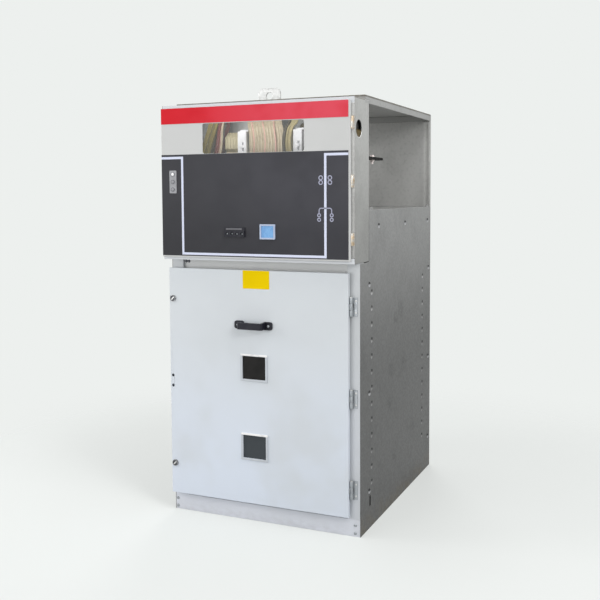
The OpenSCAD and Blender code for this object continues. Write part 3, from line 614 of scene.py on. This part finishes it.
def printed_line(work, points, width, surface):
    """Adds a band along a run of points with mitred corners."""
    path = [Vector(p) for p in points]
    left, right = [], []
    for i, point in enumerate(path):
        before = (point - path[i - 1]).normalized() if i else None
        after = (path[i + 1] - point).normalized() if i + 1 < len(path) else None
        before, after = before or after, after or before
        across = Vector((-before.y, before.x)) + Vector((-after.y, after.x))
        across *= width / 2 / (1 + before.dot(after))
        left.append(point + across)
        right.append(point - across)
    flat_band(work, left, right, surface)


def printed_ring(work, middle, radius, width, surface, sides=28):
    def circle(r):
        return [(middle[0] + r * c, middle[1] + r * s) for c, s in around(sides)]
    flat_band(work, circle(radius - width / 2), circle(radius + width / 2), surface, True)


def arc(middle, radius, start, end, steps=8):
    """Points along an arc, with angles in degrees."""
    turns = [math.radians(start + (end - start) * i / steps) for i in range(steps + 1)]
    return [(middle[0] + radius * math.cos(a), middle[1] + radius * math.sin(a)) for a in turns]


def rounded_sheet(name, low, high, surface, thickness, corner, material, body):
    """A thin blank plate with round corners on a front surface."""
    work = bmesh.new()
    corners = [((low[0] + corner, low[1] + corner), 180), ((high[0] - corner, low[1] + corner), 270),
               ((high[0] - corner, high[1] - corner), 0), ((low[0] + corner, high[1] - corner), 90)]
    outline = [p for middle, turn in corners for p in arc(middle, corner, turn, turn + 90, 6)]
    face = work.faces.new([work.verts.new((x, surface, z)) for x, z in outline])
    raised = bmesh.ops.extrude_face_region(work, geom=[face])["geom"]
    lifted = [v for v in raised if isinstance(v, bmesh.types.BMVert)]
    bmesh.ops.translate(work, vec=FRONT * thickness, verts=lifted)
    rim = [e for e in work.edges if all(v.co.y < surface - thickness / 2 for v in e.verts)]
    bmesh.ops.bevel(work, geom=rim, offset=thickness * 0.4, segments=2, affect="EDGES")
    bmesh.ops.recalc_face_normals(work, faces=work.faces)
    return piece(name, work, material, body)


def smooth_path(points, steps=10):
    """Points along a smooth curve through a few chosen ones."""
    points = [Vector(p) for p in points]
    ends = [2 * points[0] - points[1], *points, 2 * points[-1] - points[-2]]
    path = []
    for a, b, c, d in zip(ends, ends[1:], ends[2:], ends[3:]):
        for i in range(steps):
            t = i / steps
            path.append(0.5 * (2 * b + (c - a) * t + (2 * a - 5 * b + 4 * c - d) * t ** 2
                               + (3 * b - a - 3 * c + d) * t ** 3))
    return [*path, points[-1]]


def tube(work, path, radius, sides=10):
    """Adds a round wire along a path."""
    side = (path[1] - path[0]).orthogonal().normalized()
    rings = []
    for i, point in enumerate(path):
        ahead = (path[min(i + 1, len(path) - 1)] - path[max(i - 1, 0)]).normalized()
        side = (side - ahead * side.dot(ahead)).normalized()
        other = ahead.cross(side)
        ring = [point + radius * (side * c + other * s) for c, s in around(sides)]
        rings.append([work.verts.new(p) for p in ring])
    for first, second in zip(rings, rings[1:]):
        for k in range(sides):
            m = (k + 1) % sides
            work.faces.new((first[k], first[m], second[m], second[k]))
    work.faces.new(list(reversed(rings[0])))
    work.faces.new(rings[-1])


# Mimic diagram on the dark fascia
LINE_W = 0.009
FINE_W = 0.0036
MIMIC_LEFT = 0.093
MIMIC_RIGHT = 0.0885
MIMIC_TOP = 0.0125
MIMIC_LOW = 0.0085
SYMBOL_R = 0.0088
SYMBOL_SIDE = 0.0178
SYMBOL_DROP = 0.0960
SYMBOL_STEP = 0.95 * SYMBOL_R
ARM_REACH = 0.0245
ARM_DROP = 0.2060
ARM_BEND = 0.0085
ARM_FOOT = 2.2 * ARM_BEND
RING_R = 0.0056
RING_DROPS = (3.0 * ARM_BEND, 4.9 * ARM_BEND)


def mimic_diagram():
    low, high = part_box("mimic_fascia")
    surface = low.y
    left, right = low.x + MIMIC_LEFT, high.x - MIMIC_RIGHT
    top, bottom = high.z - MIMIC_TOP, low.z + MIMIC_LOW
    work = bmesh.new()
    route = [(low.x, top), (left, top), (left, bottom), (right, bottom), (right, top), (high.x, top)]
    printed_line(work, route, LINE_W, surface)
    piece("mimic_line", work, PALE_PRINT, "cabinet")

    work = bmesh.new()
    for side in (-1, 1):
        for step in (-SYMBOL_STEP, SYMBOL_STEP):
            middle = (right + side * SYMBOL_SIDE, high.z - SYMBOL_DROP - SYMBOL_R + step)
            printed_ring(work, middle, SYMBOL_R - FINE_W / 2, FINE_W, surface)
        arm_z = high.z - ARM_DROP
        arm_x = right + side * ARM_REACH
        turn = arc((arm_x - side * ARM_BEND, arm_z - ARM_BEND), ARM_BEND, 90, 0 if side > 0 else 180)
        printed_line(work, [(right, arm_z), *turn, (arm_x, arm_z - ARM_FOOT)], FINE_W, surface)
        for drop in RING_DROPS:
            printed_ring(work, (arm_x, arm_z - drop), RING_R, FINE_W, surface)
    piece("mimic_symbols", work, THIN_PRINT, "cabinet")


# Small things on the instrument panel: profiles of a lens's collar and cap, in radius and height
COLLAR = ((0.0066, 0.0), (0.0068, 0.0007), (0.0078, 0.0007), (0.0080, 0.0))
CAP = dome_head(0.0064, 0.0022)
LENSES = 3


def indicator_lenses():
    """Lens caps and dark collars on the live indicator."""
    low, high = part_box("live_indicator")
    middle = (low.x + high.x) / 2
    step = (high.z - low.z) / LENSES
    places = [(middle, low.y, low.z + step * (i + 0.5)) for i in range(LENSES)]
    turned("indicator_collars", places, FRONT, COLLAR, "cabinet", None, DARK_LENS)
    turned("indicator_lens", places[-1:], FRONT, CAP, "cabinet", None, WHITE_LENS)
    turned("indicator_spare_lenses", places[:-1], FRONT, CAP, "cabinet", "indicator_plastic")


TERMINALS = 4
TERMINAL_STEP = 0.021
TERMINAL_WELL = 0.0025
TERMINAL_SCREW = socket_head(0.0034, 0.0022)
# Marking strip: its margins at left, right, bottom and top, and its depth, thickness and corners
STRIP_MARGINS = (0.006, 0.012, 0.0095, 0.0025)
STRIP_BACK = 0.004
STRIP_T = 0.0004
STRIP_CORNER = 0.001


def terminal_screws():
    """Clamp screws down in the four test sockets, and a dull marking strip over them."""
    low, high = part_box("test_terminals")
    middle = (low.x + high.x) / 2
    level = low.z + (high.z - low.z) / 3
    places = [(middle + TERMINAL_STEP * (i - (TERMINALS - 1) / 2), high.y - TERMINAL_WELL, level)
              for i in range(TERMINALS)]
    turned("terminal_screws", places, FRONT, TERMINAL_SCREW, "cabinet", "hinge_steel")
    left, right, bottom, top = STRIP_MARGINS
    rounded_sheet("terminal_strip_label", (low.x + left, high.z - bottom), (high.x - right, high.z - top),
                  high.y - STRIP_BACK, STRIP_T, STRIP_CORNER, DIM_PRINT, "cabinet")


# Yellow blank plate on the door
PLATE_LEFT = 0.329
PLATE_SIZE = (0.113, 0.070)
PLATE_DROP = 0.001
PLATE_T = 0.0006
PLATE_CORNER = 0.003


def blank_plate():
    low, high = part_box("door_panel")
    corner = (low.x + PLATE_LEFT, high.z - PLATE_DROP - PLATE_SIZE[1])
    far_corner = (corner[0] + PLATE_SIZE[0], corner[1] + PLATE_SIZE[1])
    rounded_sheet("yellow_plate", corner, far_corner, low.y, PLATE_T, PLATE_CORNER, YELLOW_FILM, "door")


# Fasteners: each screw is the profile of its head
HANDLE_SCREW = socket_head(0.0052, 0.0028)
HANDLE_SCREW_INSET = 0.015
HANDLE_FOOT_T = 0.007


def door_fasteners():
    low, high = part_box("door_handle")
    foot, middle = high.y - HANDLE_FOOT_T, (low.z + high.z) / 2
    places = [(x, foot, middle) for x in (low.x + HANDLE_SCREW_INSET, high.x - HANDLE_SCREW_INSET)]
    turned("handle_screws", places, FRONT, HANDLE_SCREW, "door", "hinge_steel")


# Lock faces: the rise of key bar and rim, and shares of the lock's radius
LOCK_RISE = 0.0006
KEY_BAR = (1.32, 0.38)
LOCK_RIM = (0.90, 0.91, 0.97, 0.985)
LOCK_EDGE = 0.0002


def lock_faces():
    """Bright key bar and rim on each quarter-turn lock."""
    low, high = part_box("door_locks")
    radius = (high.x - low.x) / 2
    work = bmesh.new()
    for z in (low.z + radius, high.z - radius):
        stand = facing(Vector((low.x + radius, low.y, z)), FRONT)
        size = Matrix.Diagonal((radius * KEY_BAR[0], radius * KEY_BAR[1], 2 * LOCK_RISE, 1))
        turn = Matrix.Rotation(math.radians(45), 4, "Z")
        bmesh.ops.create_cube(work, size=1.0, matrix=stand @ turn @ size)
        heights = (0, LOCK_RISE, LOCK_RISE, 0)
        lathe(work, [(radius * share, height) for share, height in zip(LOCK_RIM, heights)], stand, 32)
    bmesh.ops.bevel(work, geom=work.edges[:], offset=LOCK_EDGE, segments=2, affect="EDGES")
    piece("lock_faces", work, FINISH["bright_steel"], "door")


HINGES = 3
HINGE_H = 0.069
HINGE_LEAF_T = 0.003
HINGE_SCREW = socket_head(0.0042, 0.0018)
HINGE_SCREW_INSET = 0.0065
HINGE_SCREW_SPREAD = 0.022


def hinge_fasteners():
    """Two screws through each hinge leaf on the post."""
    low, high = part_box("hinge_post_leaves")
    step = (high.z - low.z - HINGE_H) / (HINGES - 1)
    x, y = high.x - HINGE_SCREW_INSET, high.y - HINGE_LEAF_T
    places = [(x, y, low.z + HINGE_H / 2 + i * step + side * HINGE_SCREW_SPREAD)
              for i in range(HINGES) for side in (-1, 1)]
    turned("hinge_screws", places, FRONT, HINGE_SCREW, "cabinet", "bright_steel")


PANEL_SCREW = socket_head(0.0062, 0.0034)
PLINTH_SCREW_INSETS = (0.009, 0.019)
PLINTH_SCREW_ZS = (0.013, 0.044)
HEADER_SCREW = socket_head(0.0058, 0.0030)
HEADER_SCREW_INSETS = (0.008, 0.020)
HEADER_SCREW_DROP = 0.012


def frame_fasteners():
    low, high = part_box("front_plinth")
    places = [(x, low.y, z) for x in (low.x + PLINTH_SCREW_INSETS[0], high.x - PLINTH_SCREW_INSETS[1])
              for z in PLINTH_SCREW_ZS]
    turned("plinth_screws", places, FRONT, PANEL_SCREW, "cabinet", "hinge_steel")
    low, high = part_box("header_rail")
    places = [(low.x + inset, low.y, high.z - HEADER_SCREW_DROP) for inset in HEADER_SCREW_INSETS]
    turned("header_screws", places, FRONT, HEADER_SCREW, "cabinet", "lock_metal")


SIDE_SCREW_INSETS = (0.097, 0.035)
SIDE_SCREW_ZS = (0.147, 0.525, 0.938)
TOP_SCREW_YS = (0.208, 0.555, 0.905)
TOP_SCREW_DROP = 0.062
SIDE_SCREW = dome_head(0.0105, 0.0042)


def side_fasteners():
    """Screws that hold each side panel along its front, rear and top edges."""
    for side, direction in (("right", RIGHT), ("left", LEFT)):
        low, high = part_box(side + "_side_panel")
        face = high.x if side == "right" else low.x
        places = [(face, y, z) for y in (low.y + SIDE_SCREW_INSETS[0], high.y - SIDE_SCREW_INSETS[1])
                  for z in SIDE_SCREW_ZS]
        places += [(face, low.y + y, high.z - TOP_SCREW_DROP) for y in TOP_SCREW_YS]
        turned(side + "_side_screws", places, direction, SIDE_SCREW, "cabinet", "hinge_steel",
               SIDE_SCREW_PLATING)


# Rear screws: rows along each panel's sides, inset, ends of the rows, and columns between
REAR_ROWS = {"lower_rear_panel": 5, "upper_rear_cover": 3}
REAR_INSET = 0.012
REAR_END = 0.05
REAR_XS = (-0.2, 0.0, 0.2)


def rear_fasteners():
    """Screws round the two rear panels."""
    for node, rows in REAR_ROWS.items():
        low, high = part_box(node)
        step = (high.z - low.z - 2 * REAR_END) / (rows - 1)
        heights = [low.z + REAR_END + step * i for i in range(rows)]
        places = [(x, high.y, z) for x in (low.x + REAR_INSET, high.x - REAR_INSET) for z in heights]
        places += [(x, high.y, z) for x in REAR_XS for z in (low.z + REAR_INSET, high.z - REAR_INSET)]
        turned(node + "_screws", places, REAR, PANEL_SCREW, "cabinet", "bright_steel")


# Lips along the upper rear cover's sides: width, thickness, end gap, rounding, and the cover's own sheet
LIP_W = 0.007
LIP_T = 0.0015
LIP_END = 0.0025
LIP_ROUND = 0.0005
COVER_SHEET = 0.002


def rear_cover_lips():
    """Narrow lips turned in from the rear cover's side flanges."""
    low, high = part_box("upper_rear_cover")
    work = bmesh.new()
    size = Matrix.Diagonal((LIP_W, LIP_T, high.z - low.z - 2 * LIP_END, 1))
    x = high.x - COVER_SHEET - LIP_W / 2
    for side in (-1, 1):
        middle = Matrix.Translation((side * x, low.y + LIP_T / 2, (low.z + high.z) / 2))
        bmesh.ops.create_cube(work, size=1.0, matrix=middle @ size)
    bmesh.ops.bevel(work, geom=work.edges[:], offset=LIP_ROUND, segments=2, affect="EDGES")
    piece("rear_cover_lips", work, FINISH["light_zinc"], "cabinet")


# Looms behind the window: radius, inset, spacing, strands, turns, and the strands' shares of the radius
LOOM_R = 0.009
LOOM_INSET = 1.1 * LOOM_R
LOOM_STEP = 0.026
STRANDS = 6
TWIST = 2.5
STRAND_RING = 0.62
STRAND_SHARE = 0.36
# The upper box's sheet
BOX_SHEET = 0.002


def box_inside():
    """Heights of the upper box's inner floor and ceiling."""
    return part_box("box_bottom")[0].z + BOX_SHEET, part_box("box_top")[1].z - BOX_SHEET


def strand_path(foot, head, turn, steps=36):
    """One strand that winds slowly round the line from foot to head."""
    ahead = (head - foot).normalized()
    side = ahead.cross(REAR).normalized() * LOOM_R * STRAND_RING
    other = ahead.cross(side)
    path = []
    for i in range(steps + 1):
        t = i / steps
        angle = turn + TWIST * 2 * math.pi * t
        path.append(foot.lerp(head, t) + side * math.cos(angle) + other * math.sin(angle))
    return path


def wire_looms():
    """Twisted strands in place of the plain looms."""
    low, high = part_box("wire_looms")
    middle_y = (low.y + high.y) / 2
    sleeves = (FINISH["wire_sleeve"], FINISH["wire_sleeve"], BROWN_SLEEVE)
    reach = high.x - low.x - (len(sleeves) - 1) * LOOM_STEP - 2 * LOOM_INSET
    for i, material in enumerate(sleeves):
        foot = Vector((low.x + LOOM_INSET + i * LOOM_STEP, middle_y, low.z))
        head = foot + Vector((reach, 0, high.z - low.z))
        work = bmesh.new()
        for k in range(STRANDS):
            tube(work, strand_path(foot, head, 2 * math.pi * k / STRANDS), LOOM_R * STRAND_SHARE, 8)
        made = piece("wire_loom_%d" % (i + 1), work, material, "cabinet")
        if i == 0:
            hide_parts("wire_looms")


# Arched wires: how far they stand out, and how much they vary in width and depth
ARCH_OUT = 0.010
ARCH_VARIES = 0.0014
# Rows of arched wires: bulge, radius, and how far each row stands before the first
CREAM_ROW = (0.014, 0.0041, 0.0)
PINK_ROW = (0.014, 0.0030, 0.004)
DARK_ROW = (-0.013, 0.0036, 0.006)
TAN_ROW = (-0.014, 0.0034, 0.002)


def arched_wires(name, starts, row, material):
    """A row of wires that come down from the box's top in arcs and turn up into the blocks from below."""
    low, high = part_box("terminal_blocks")
    bulge, radius, ahead = row
    front = low.y - ahead
    _, ceiling = box_inside()
    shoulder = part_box("window_pane")[1].z
    work = bmesh.new()
    for i, x in enumerate(starts):
        sway = ARCH_VARIES * math.sin(2.1 * i)
        out = front - ARCH_OUT - ARCH_VARIES * (i % 3)
        points = [(x - 0.9 * bulge, front + 0.020, ceiling),
                  (x - 0.4 * bulge, front + 0.006, shoulder),
                  (x + 0.5 * bulge + sway, out, shoulder - 0.030),
                  (x + bulge + sway, out - 0.004, (low.z + high.z) / 2),
                  (x + 0.8 * bulge, out - 0.002, low.z + 0.004),
                  (x + 0.5 * bulge, out + 0.004, low.z - 0.016),
                  (x + 0.1 * bulge, low.y + 0.012, low.z - 0.018),
                  (x, low.y + 0.018, low.z + 0.004)]
        tube(work, smooth_path(points), radius, 8)
    piece(name, work, material, "cabinet")


# Jumpers over the blocks: number, place from the left, spacing, and which of them are pink
JUMPERS = 34
JUMPER_INSET = 0.105
JUMPER_STEP = 0.0042
PINK_FIRST = 4
PINK_EVERY = 11
# Dark and tan jumpers at the blocks' right end: place from it, and places of each row's wires from there
EDGE_INSET = 0.022
DARK_SPOTS = (0.0, 0.004)
TAN_SPOTS = (0.006, 0.011, 0.016, 0.021, 0.026, 0.031)


def jumper_wires():
    """Cream and pink wires over the terminal blocks, and dark and tan ones by the right-hand breaker."""
    low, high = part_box("terminal_blocks")
    spots = [low.x + JUMPER_INSET + JUMPER_STEP * i for i in range(JUMPERS)]
    pink = spots[PINK_FIRST::PINK_EVERY]
    cream = [x for x in spots if x not in pink]
    arched_wires("cream_jumpers", cream, CREAM_ROW, CREAM_SLEEVE)
    arched_wires("pink_jumpers", pink, PINK_ROW, PINK_SLEEVE)
    edge = high.x - EDGE_INSET
    arched_wires("dark_jumpers", [edge + spot for spot in DARK_SPOTS], DARK_ROW, UMBER_SLEEVE)
    arched_wires("tan_jumpers", [edge + spot for spot in TAN_SPOTS], TAN_ROW, TAN_SLEEVE)


# Wires under the left-hand blocks
DROPS = 11
DROP_INSET = 0.004
DROP_STEP = 0.0046
DROP_R = 0.0034


def drop_wires():
    """Cream wires from the underside of the left-hand blocks down to the box's bottom."""
    low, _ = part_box("terminal_blocks")
    floor, _ = box_inside()
    work = bmesh.new()
    for i in range(DROPS):
        x = low.x + DROP_INSET + DROP_STEP * i
        points = [(x, low.y + 0.014, low.z + 0.004), (x, low.y + 0.004, low.z - 0.014),
                  (x + 0.003, low.y + 0.002, (low.z + floor) / 2), (x, low.y + 0.012, floor)]
        tube(work, smooth_path(points), DROP_R, 8)
    piece("drop_wires", work, CREAM_SLEEVE, "cabinet")


# Wires at the window's left end: their widths at two heights, and their sleeve
LEANING_HEIGHTS = (1.540, 1.440)
LEANING_WIRES = ((-0.234, -0.270, "olive"), (-0.226, -0.264, "olive"), (-0.218, -0.257, "olive"),
                 (-0.210, -0.250, "olive"), (-0.203, -0.243, "olive"), (-0.197, -0.234, "olive"),
                 (-0.191, -0.222, "dark"), (-0.186, -0.205, "brown"), (-0.181, -0.197, "brown"),
                 (-0.177, -0.189, "pink"), (-0.171, -0.183, "cream"))
# Their radius, how far they stand out and vary in depth, the height of their bend, and their feet's places
LEANING_R = 0.0042
LEANING_OUT = 0.012
LEANING_VARIES = 0.003
LEANING_BEND = 1.26
LEANING_FOOT = -0.365
LEANING_STEP = 0.010


def leaning_wires():
    """Wires that run down to the left from the box's top to its bottom."""
    sleeves = {"olive": FINISH["wire_sleeve"], "dark": UMBER_SLEEVE, "brown": BROWN_SLEEVE,
               "pink": PINK_SLEEVE, "cream": CREAM_SLEEVE}
    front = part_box("terminal_blocks")[0].y - LEANING_OUT
    floor, ceiling = box_inside()
    upper, lower = LEANING_HEIGHTS
    for sleeve_name, material in sleeves.items():
        work = bmesh.new()
        for i, (top_x, low_x, kind) in enumerate(LEANING_WIRES):
            if kind != sleeve_name:
                continue
            depth = front - LEANING_VARIES * (i % 3)
            foot_x = LEANING_FOOT + LEANING_STEP * i
            points = [(top_x + 0.018, depth + 0.012, ceiling),
                      (top_x, depth, upper),
                      (low_x, depth, lower),
                      ((low_x + foot_x) / 2 - 0.012, depth + 0.008, LEANING_BEND),
                      (foot_x, depth + 0.016, floor)]
            tube(work, smooth_path(points, 14), LEANING_R, 10)
        piece("leaning_wires_" + sleeve_name, work, material, "cabinet")


# The loom behind the right wall's wiring hole: the hole's place from the wall's corner, the loom's strands,
# how far back the loom lies from the hole's middle, and its gap to the wall
HOLE_BACK = 0.042
HOLE_DROP = 0.111
HOLE_STRANDS = 8
HOLE_STRAND_R = 0.0044
HOLE_LOOM_BACK = 0.025
HOLE_LOOM_GAP = 0.001


def side_hole_loom():
    """Olive wires in the lower half of the wiring hole that turn off to a breaker, and dark ones above."""
    low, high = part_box("box_right_wall")
    floor, ceiling = box_inside()
    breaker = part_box("breaker_bodies")[1]
    hole_z = high.z - HOLE_DROP
    wall_x = high.x - BOX_SHEET - HOLE_LOOM_GAP - HOLE_STRAND_R
    olive, dark = bmesh.new(), bmesh.new()
    for k in range(HOLE_STRANDS):
        y = low.y + HOLE_BACK + HOLE_LOOM_BACK + 2 * HOLE_STRAND_R * (k - (HOLE_STRANDS - 1) / 2)
        turn_z = hole_z - 0.005 - 0.002 * (k % 3)
        end = Vector((breaker.x - 0.004 - 0.0035 * k, breaker.y - 0.012, breaker.z - 0.003))
        points = [(wall_x - 0.006, y, floor), (wall_x - 0.003, y, (floor + turn_z) / 2),
                  (wall_x, y, turn_z - 0.030), (wall_x - 0.006, y + 0.002, turn_z),
                  (wall_x - 0.060, y + 0.010, turn_z + 0.010),
                  (end.x + 0.030, end.y, end.z + 0.020), end]
        tube(olive, smooth_path(points, 14), HOLE_STRAND_R, 10)
        points = [(wall_x - 0.012, y + 0.006, hole_z - 0.050),
                  (wall_x - 0.012, y + 0.006, hole_z),
                  (wall_x - 0.010, y + 0.006, ceiling)]
        tube(dark, smooth_path(points), HOLE_STRAND_R, 10)
    piece("side_loom", olive, DEEP_OLIVE_SLEEVE, "cabinet")
    piece("side_loom_dark", dark, DARK_SLEEVE, "cabinet")


# Stage: the floor's half side, where it fades into the backdrop, its diffuse share, and the world's light
FLOOR_REACH = 7.0
FLOOR_FADE = (1.1, 2.4)
FLOOR_SHARE = 0.55
AMBIENT = 0.48


def seen_directly(graph):
    """A socket that is 1 for what the camera sees, also by reflection or through glass."""
    path = graph.add("ShaderNodeLightPath")
    value = path.outputs["Is Camera Ray"]
    for name in ("Is Glossy Ray", "Is Transmission Ray"):
        value = graph.maths("MAXIMUM", value, path.outputs[name])
    return value


def make_world():
    world = bpy.data.worlds.new("studio")
    scene.world = world
    world.use_nodes = True
    world.node_tree.nodes.clear()
    graph = Graph(world.node_tree)
    light = graph.add("ShaderNodeBackground", {"Color": (1.0, 1.0, 1.0, 1.0), "Strength": AMBIENT})
    backdrop = graph.add("ShaderNodeBackground", {"Color": (*BACKDROP, 1.0)})
    choices = {0: seen_directly(graph), 1: light.outputs["Background"], 2: backdrop.outputs["Background"]}
    mix = graph.add("ShaderNodeMixShader", choices)
    graph.add("ShaderNodeOutputWorld", {"Surface": mix.outputs["Shader"]})


def make_floor():
    """Pale floor that keeps the shadow near the part and fades into the backdrop further out."""
    bpy.ops.mesh.primitive_plane_add(size=2 * FLOOR_REACH, location=(0, 0, 0))
    floor = bpy.context.object
    floor.name = "studio_floor"
    material = bpy.data.materials.new("studio_floor")
    material.use_nodes = True
    material.node_tree.nodes.clear()
    graph = Graph(material.node_tree)
    diffuse = graph.add("ShaderNodeBsdfDiffuse", {"Color": (*shade(BACKDROP, FLOOR_SHARE), 1.0)})
    level = graph.times(seen_directly(graph), 1.0 - FLOOR_SHARE)
    glow = graph.add("ShaderNodeEmission", {"Color": (*BACKDROP, 1.0), "Strength": level})
    both = graph.add("ShaderNodeAddShader", {0: diffuse.outputs["BSDF"], 1: glow.outputs["Emission"]})
    away = graph.vector("LENGTH", "Value", graph.add("ShaderNodeTexCoord").outputs["Object"])
    clear = graph.add("ShaderNodeBsdfTransparent")
    choices = {0: graph.ramp(away, *FLOOR_FADE), 1: both.outputs["Shader"], 2: clear.outputs["BSDF"]}
    mix = graph.add("ShaderNodeMixShader", choices)
    graph.add("ShaderNodeOutputMaterial", {"Surface": mix.outputs["Shader"]})
    floor.data.materials.append(material)


# Lamps: place, target, size and power
LAMPS = {
    "key": ((-1.7, -4.4, 1.0), (0, -0.4, 0.9), 3.0, 53),
    "side_fill": ((3.1, -2.4, 2.6), (0.3, 0.1, 1.0), 1.4, 52),
    "top_light": ((1.5, -1.2, 3.9), (0.4, -0.4, 0.6), 1.2, 34),
    "left_fill": ((-3.2, -1.5, 1.7), (0, 0.4, 1.3), 1.6, 38),
    "rear_fill": ((-1.6, 4.6, 3.0), (0, 0.4, 0.8), 2.6, 90),
}
# A weak strip lamp inside the upper box: its size, its power, and its place and aim behind the window
BOX_LAMP_SIZE = (0.64, 0.02)
BOX_LAMP_POWER = 0.30
BOX_LAMP_BACK = 0.012
BOX_LAMP_RISE = 0.030
BOX_LAMP_AIM = 0.10


def soft_light(name, place, target, size, power, depth=None):
    data = bpy.data.lights.new(name, "AREA")
    data.shape = "RECTANGLE" if depth else "DISK"
    data.size = size
    if depth:
        data.size_y = depth
    data.energy = power
    lamp = bpy.data.objects.new(name, data)
    lamp.visible_camera = False
    scene.collection.objects.link(lamp)
    lamp.location = place
    lamp.rotation_euler = (Vector(target) - Vector(place)).to_track_quat("-Z", "Y").to_euler()


def make_lights():
    for name, lamp in LAMPS.items():
        soft_light(name, *lamp)
    low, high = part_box("window_pane")
    place = (0, high.y + BOX_LAMP_BACK, high.z + BOX_LAMP_RISE)
    target = (0, high.y + BOX_LAMP_AIM, low.z)
    soft_light("box_lamp", place, target, BOX_LAMP_SIZE[0], BOX_LAMP_POWER, BOX_LAMP_SIZE[1])


def make_camera():
    yaw, pitch, roll = (math.radians(a) for a in CAMERA_TURN)
    right = Vector((math.cos(yaw), math.sin(yaw), 0))
    ahead = Vector((-math.sin(yaw), math.cos(yaw), 0))
    up = UP * math.cos(pitch) + ahead * math.sin(pitch)
    ahead = ahead * math.cos(pitch) - UP * math.sin(pitch)
    tilted = right * math.cos(roll) + up * math.sin(roll)
    up = up * math.cos(roll) - right * math.sin(roll)
    data = bpy.data.cameras.new("photo_camera")
    data.sensor_width = SENSOR
    data.lens = SENSOR * FOCAL_PX / PHOTO_SIDE
    data.shift_y = -(PHOTO_SIDE / 2 - MIDDLE_ROW) / PHOTO_SIDE
    camera = bpy.data.objects.new("photo_camera", data)
    scene.collection.objects.link(camera)
    turn = Matrix((tilted, up, -ahead)).transposed().to_4x4()
    camera.matrix_world = Matrix.Translation(CAMERA_PLACE) @ turn
    scene.camera = camera


dress_nodes()
soften_edges()
mimic_diagram()
indicator_lenses()
terminal_screws()
blank_plate()
door_fasteners()
lock_faces()
hinge_fasteners()
frame_fasteners()
side_fasteners()
rear_fasteners()
rear_cover_lips()
wire_looms()
jumper_wires()
drop_wires()
leaning_wires()
side_hole_loom()
make_world()
make_floor()
make_lights()
make_camera()
scene.view_settings.view_transform = "Standard"
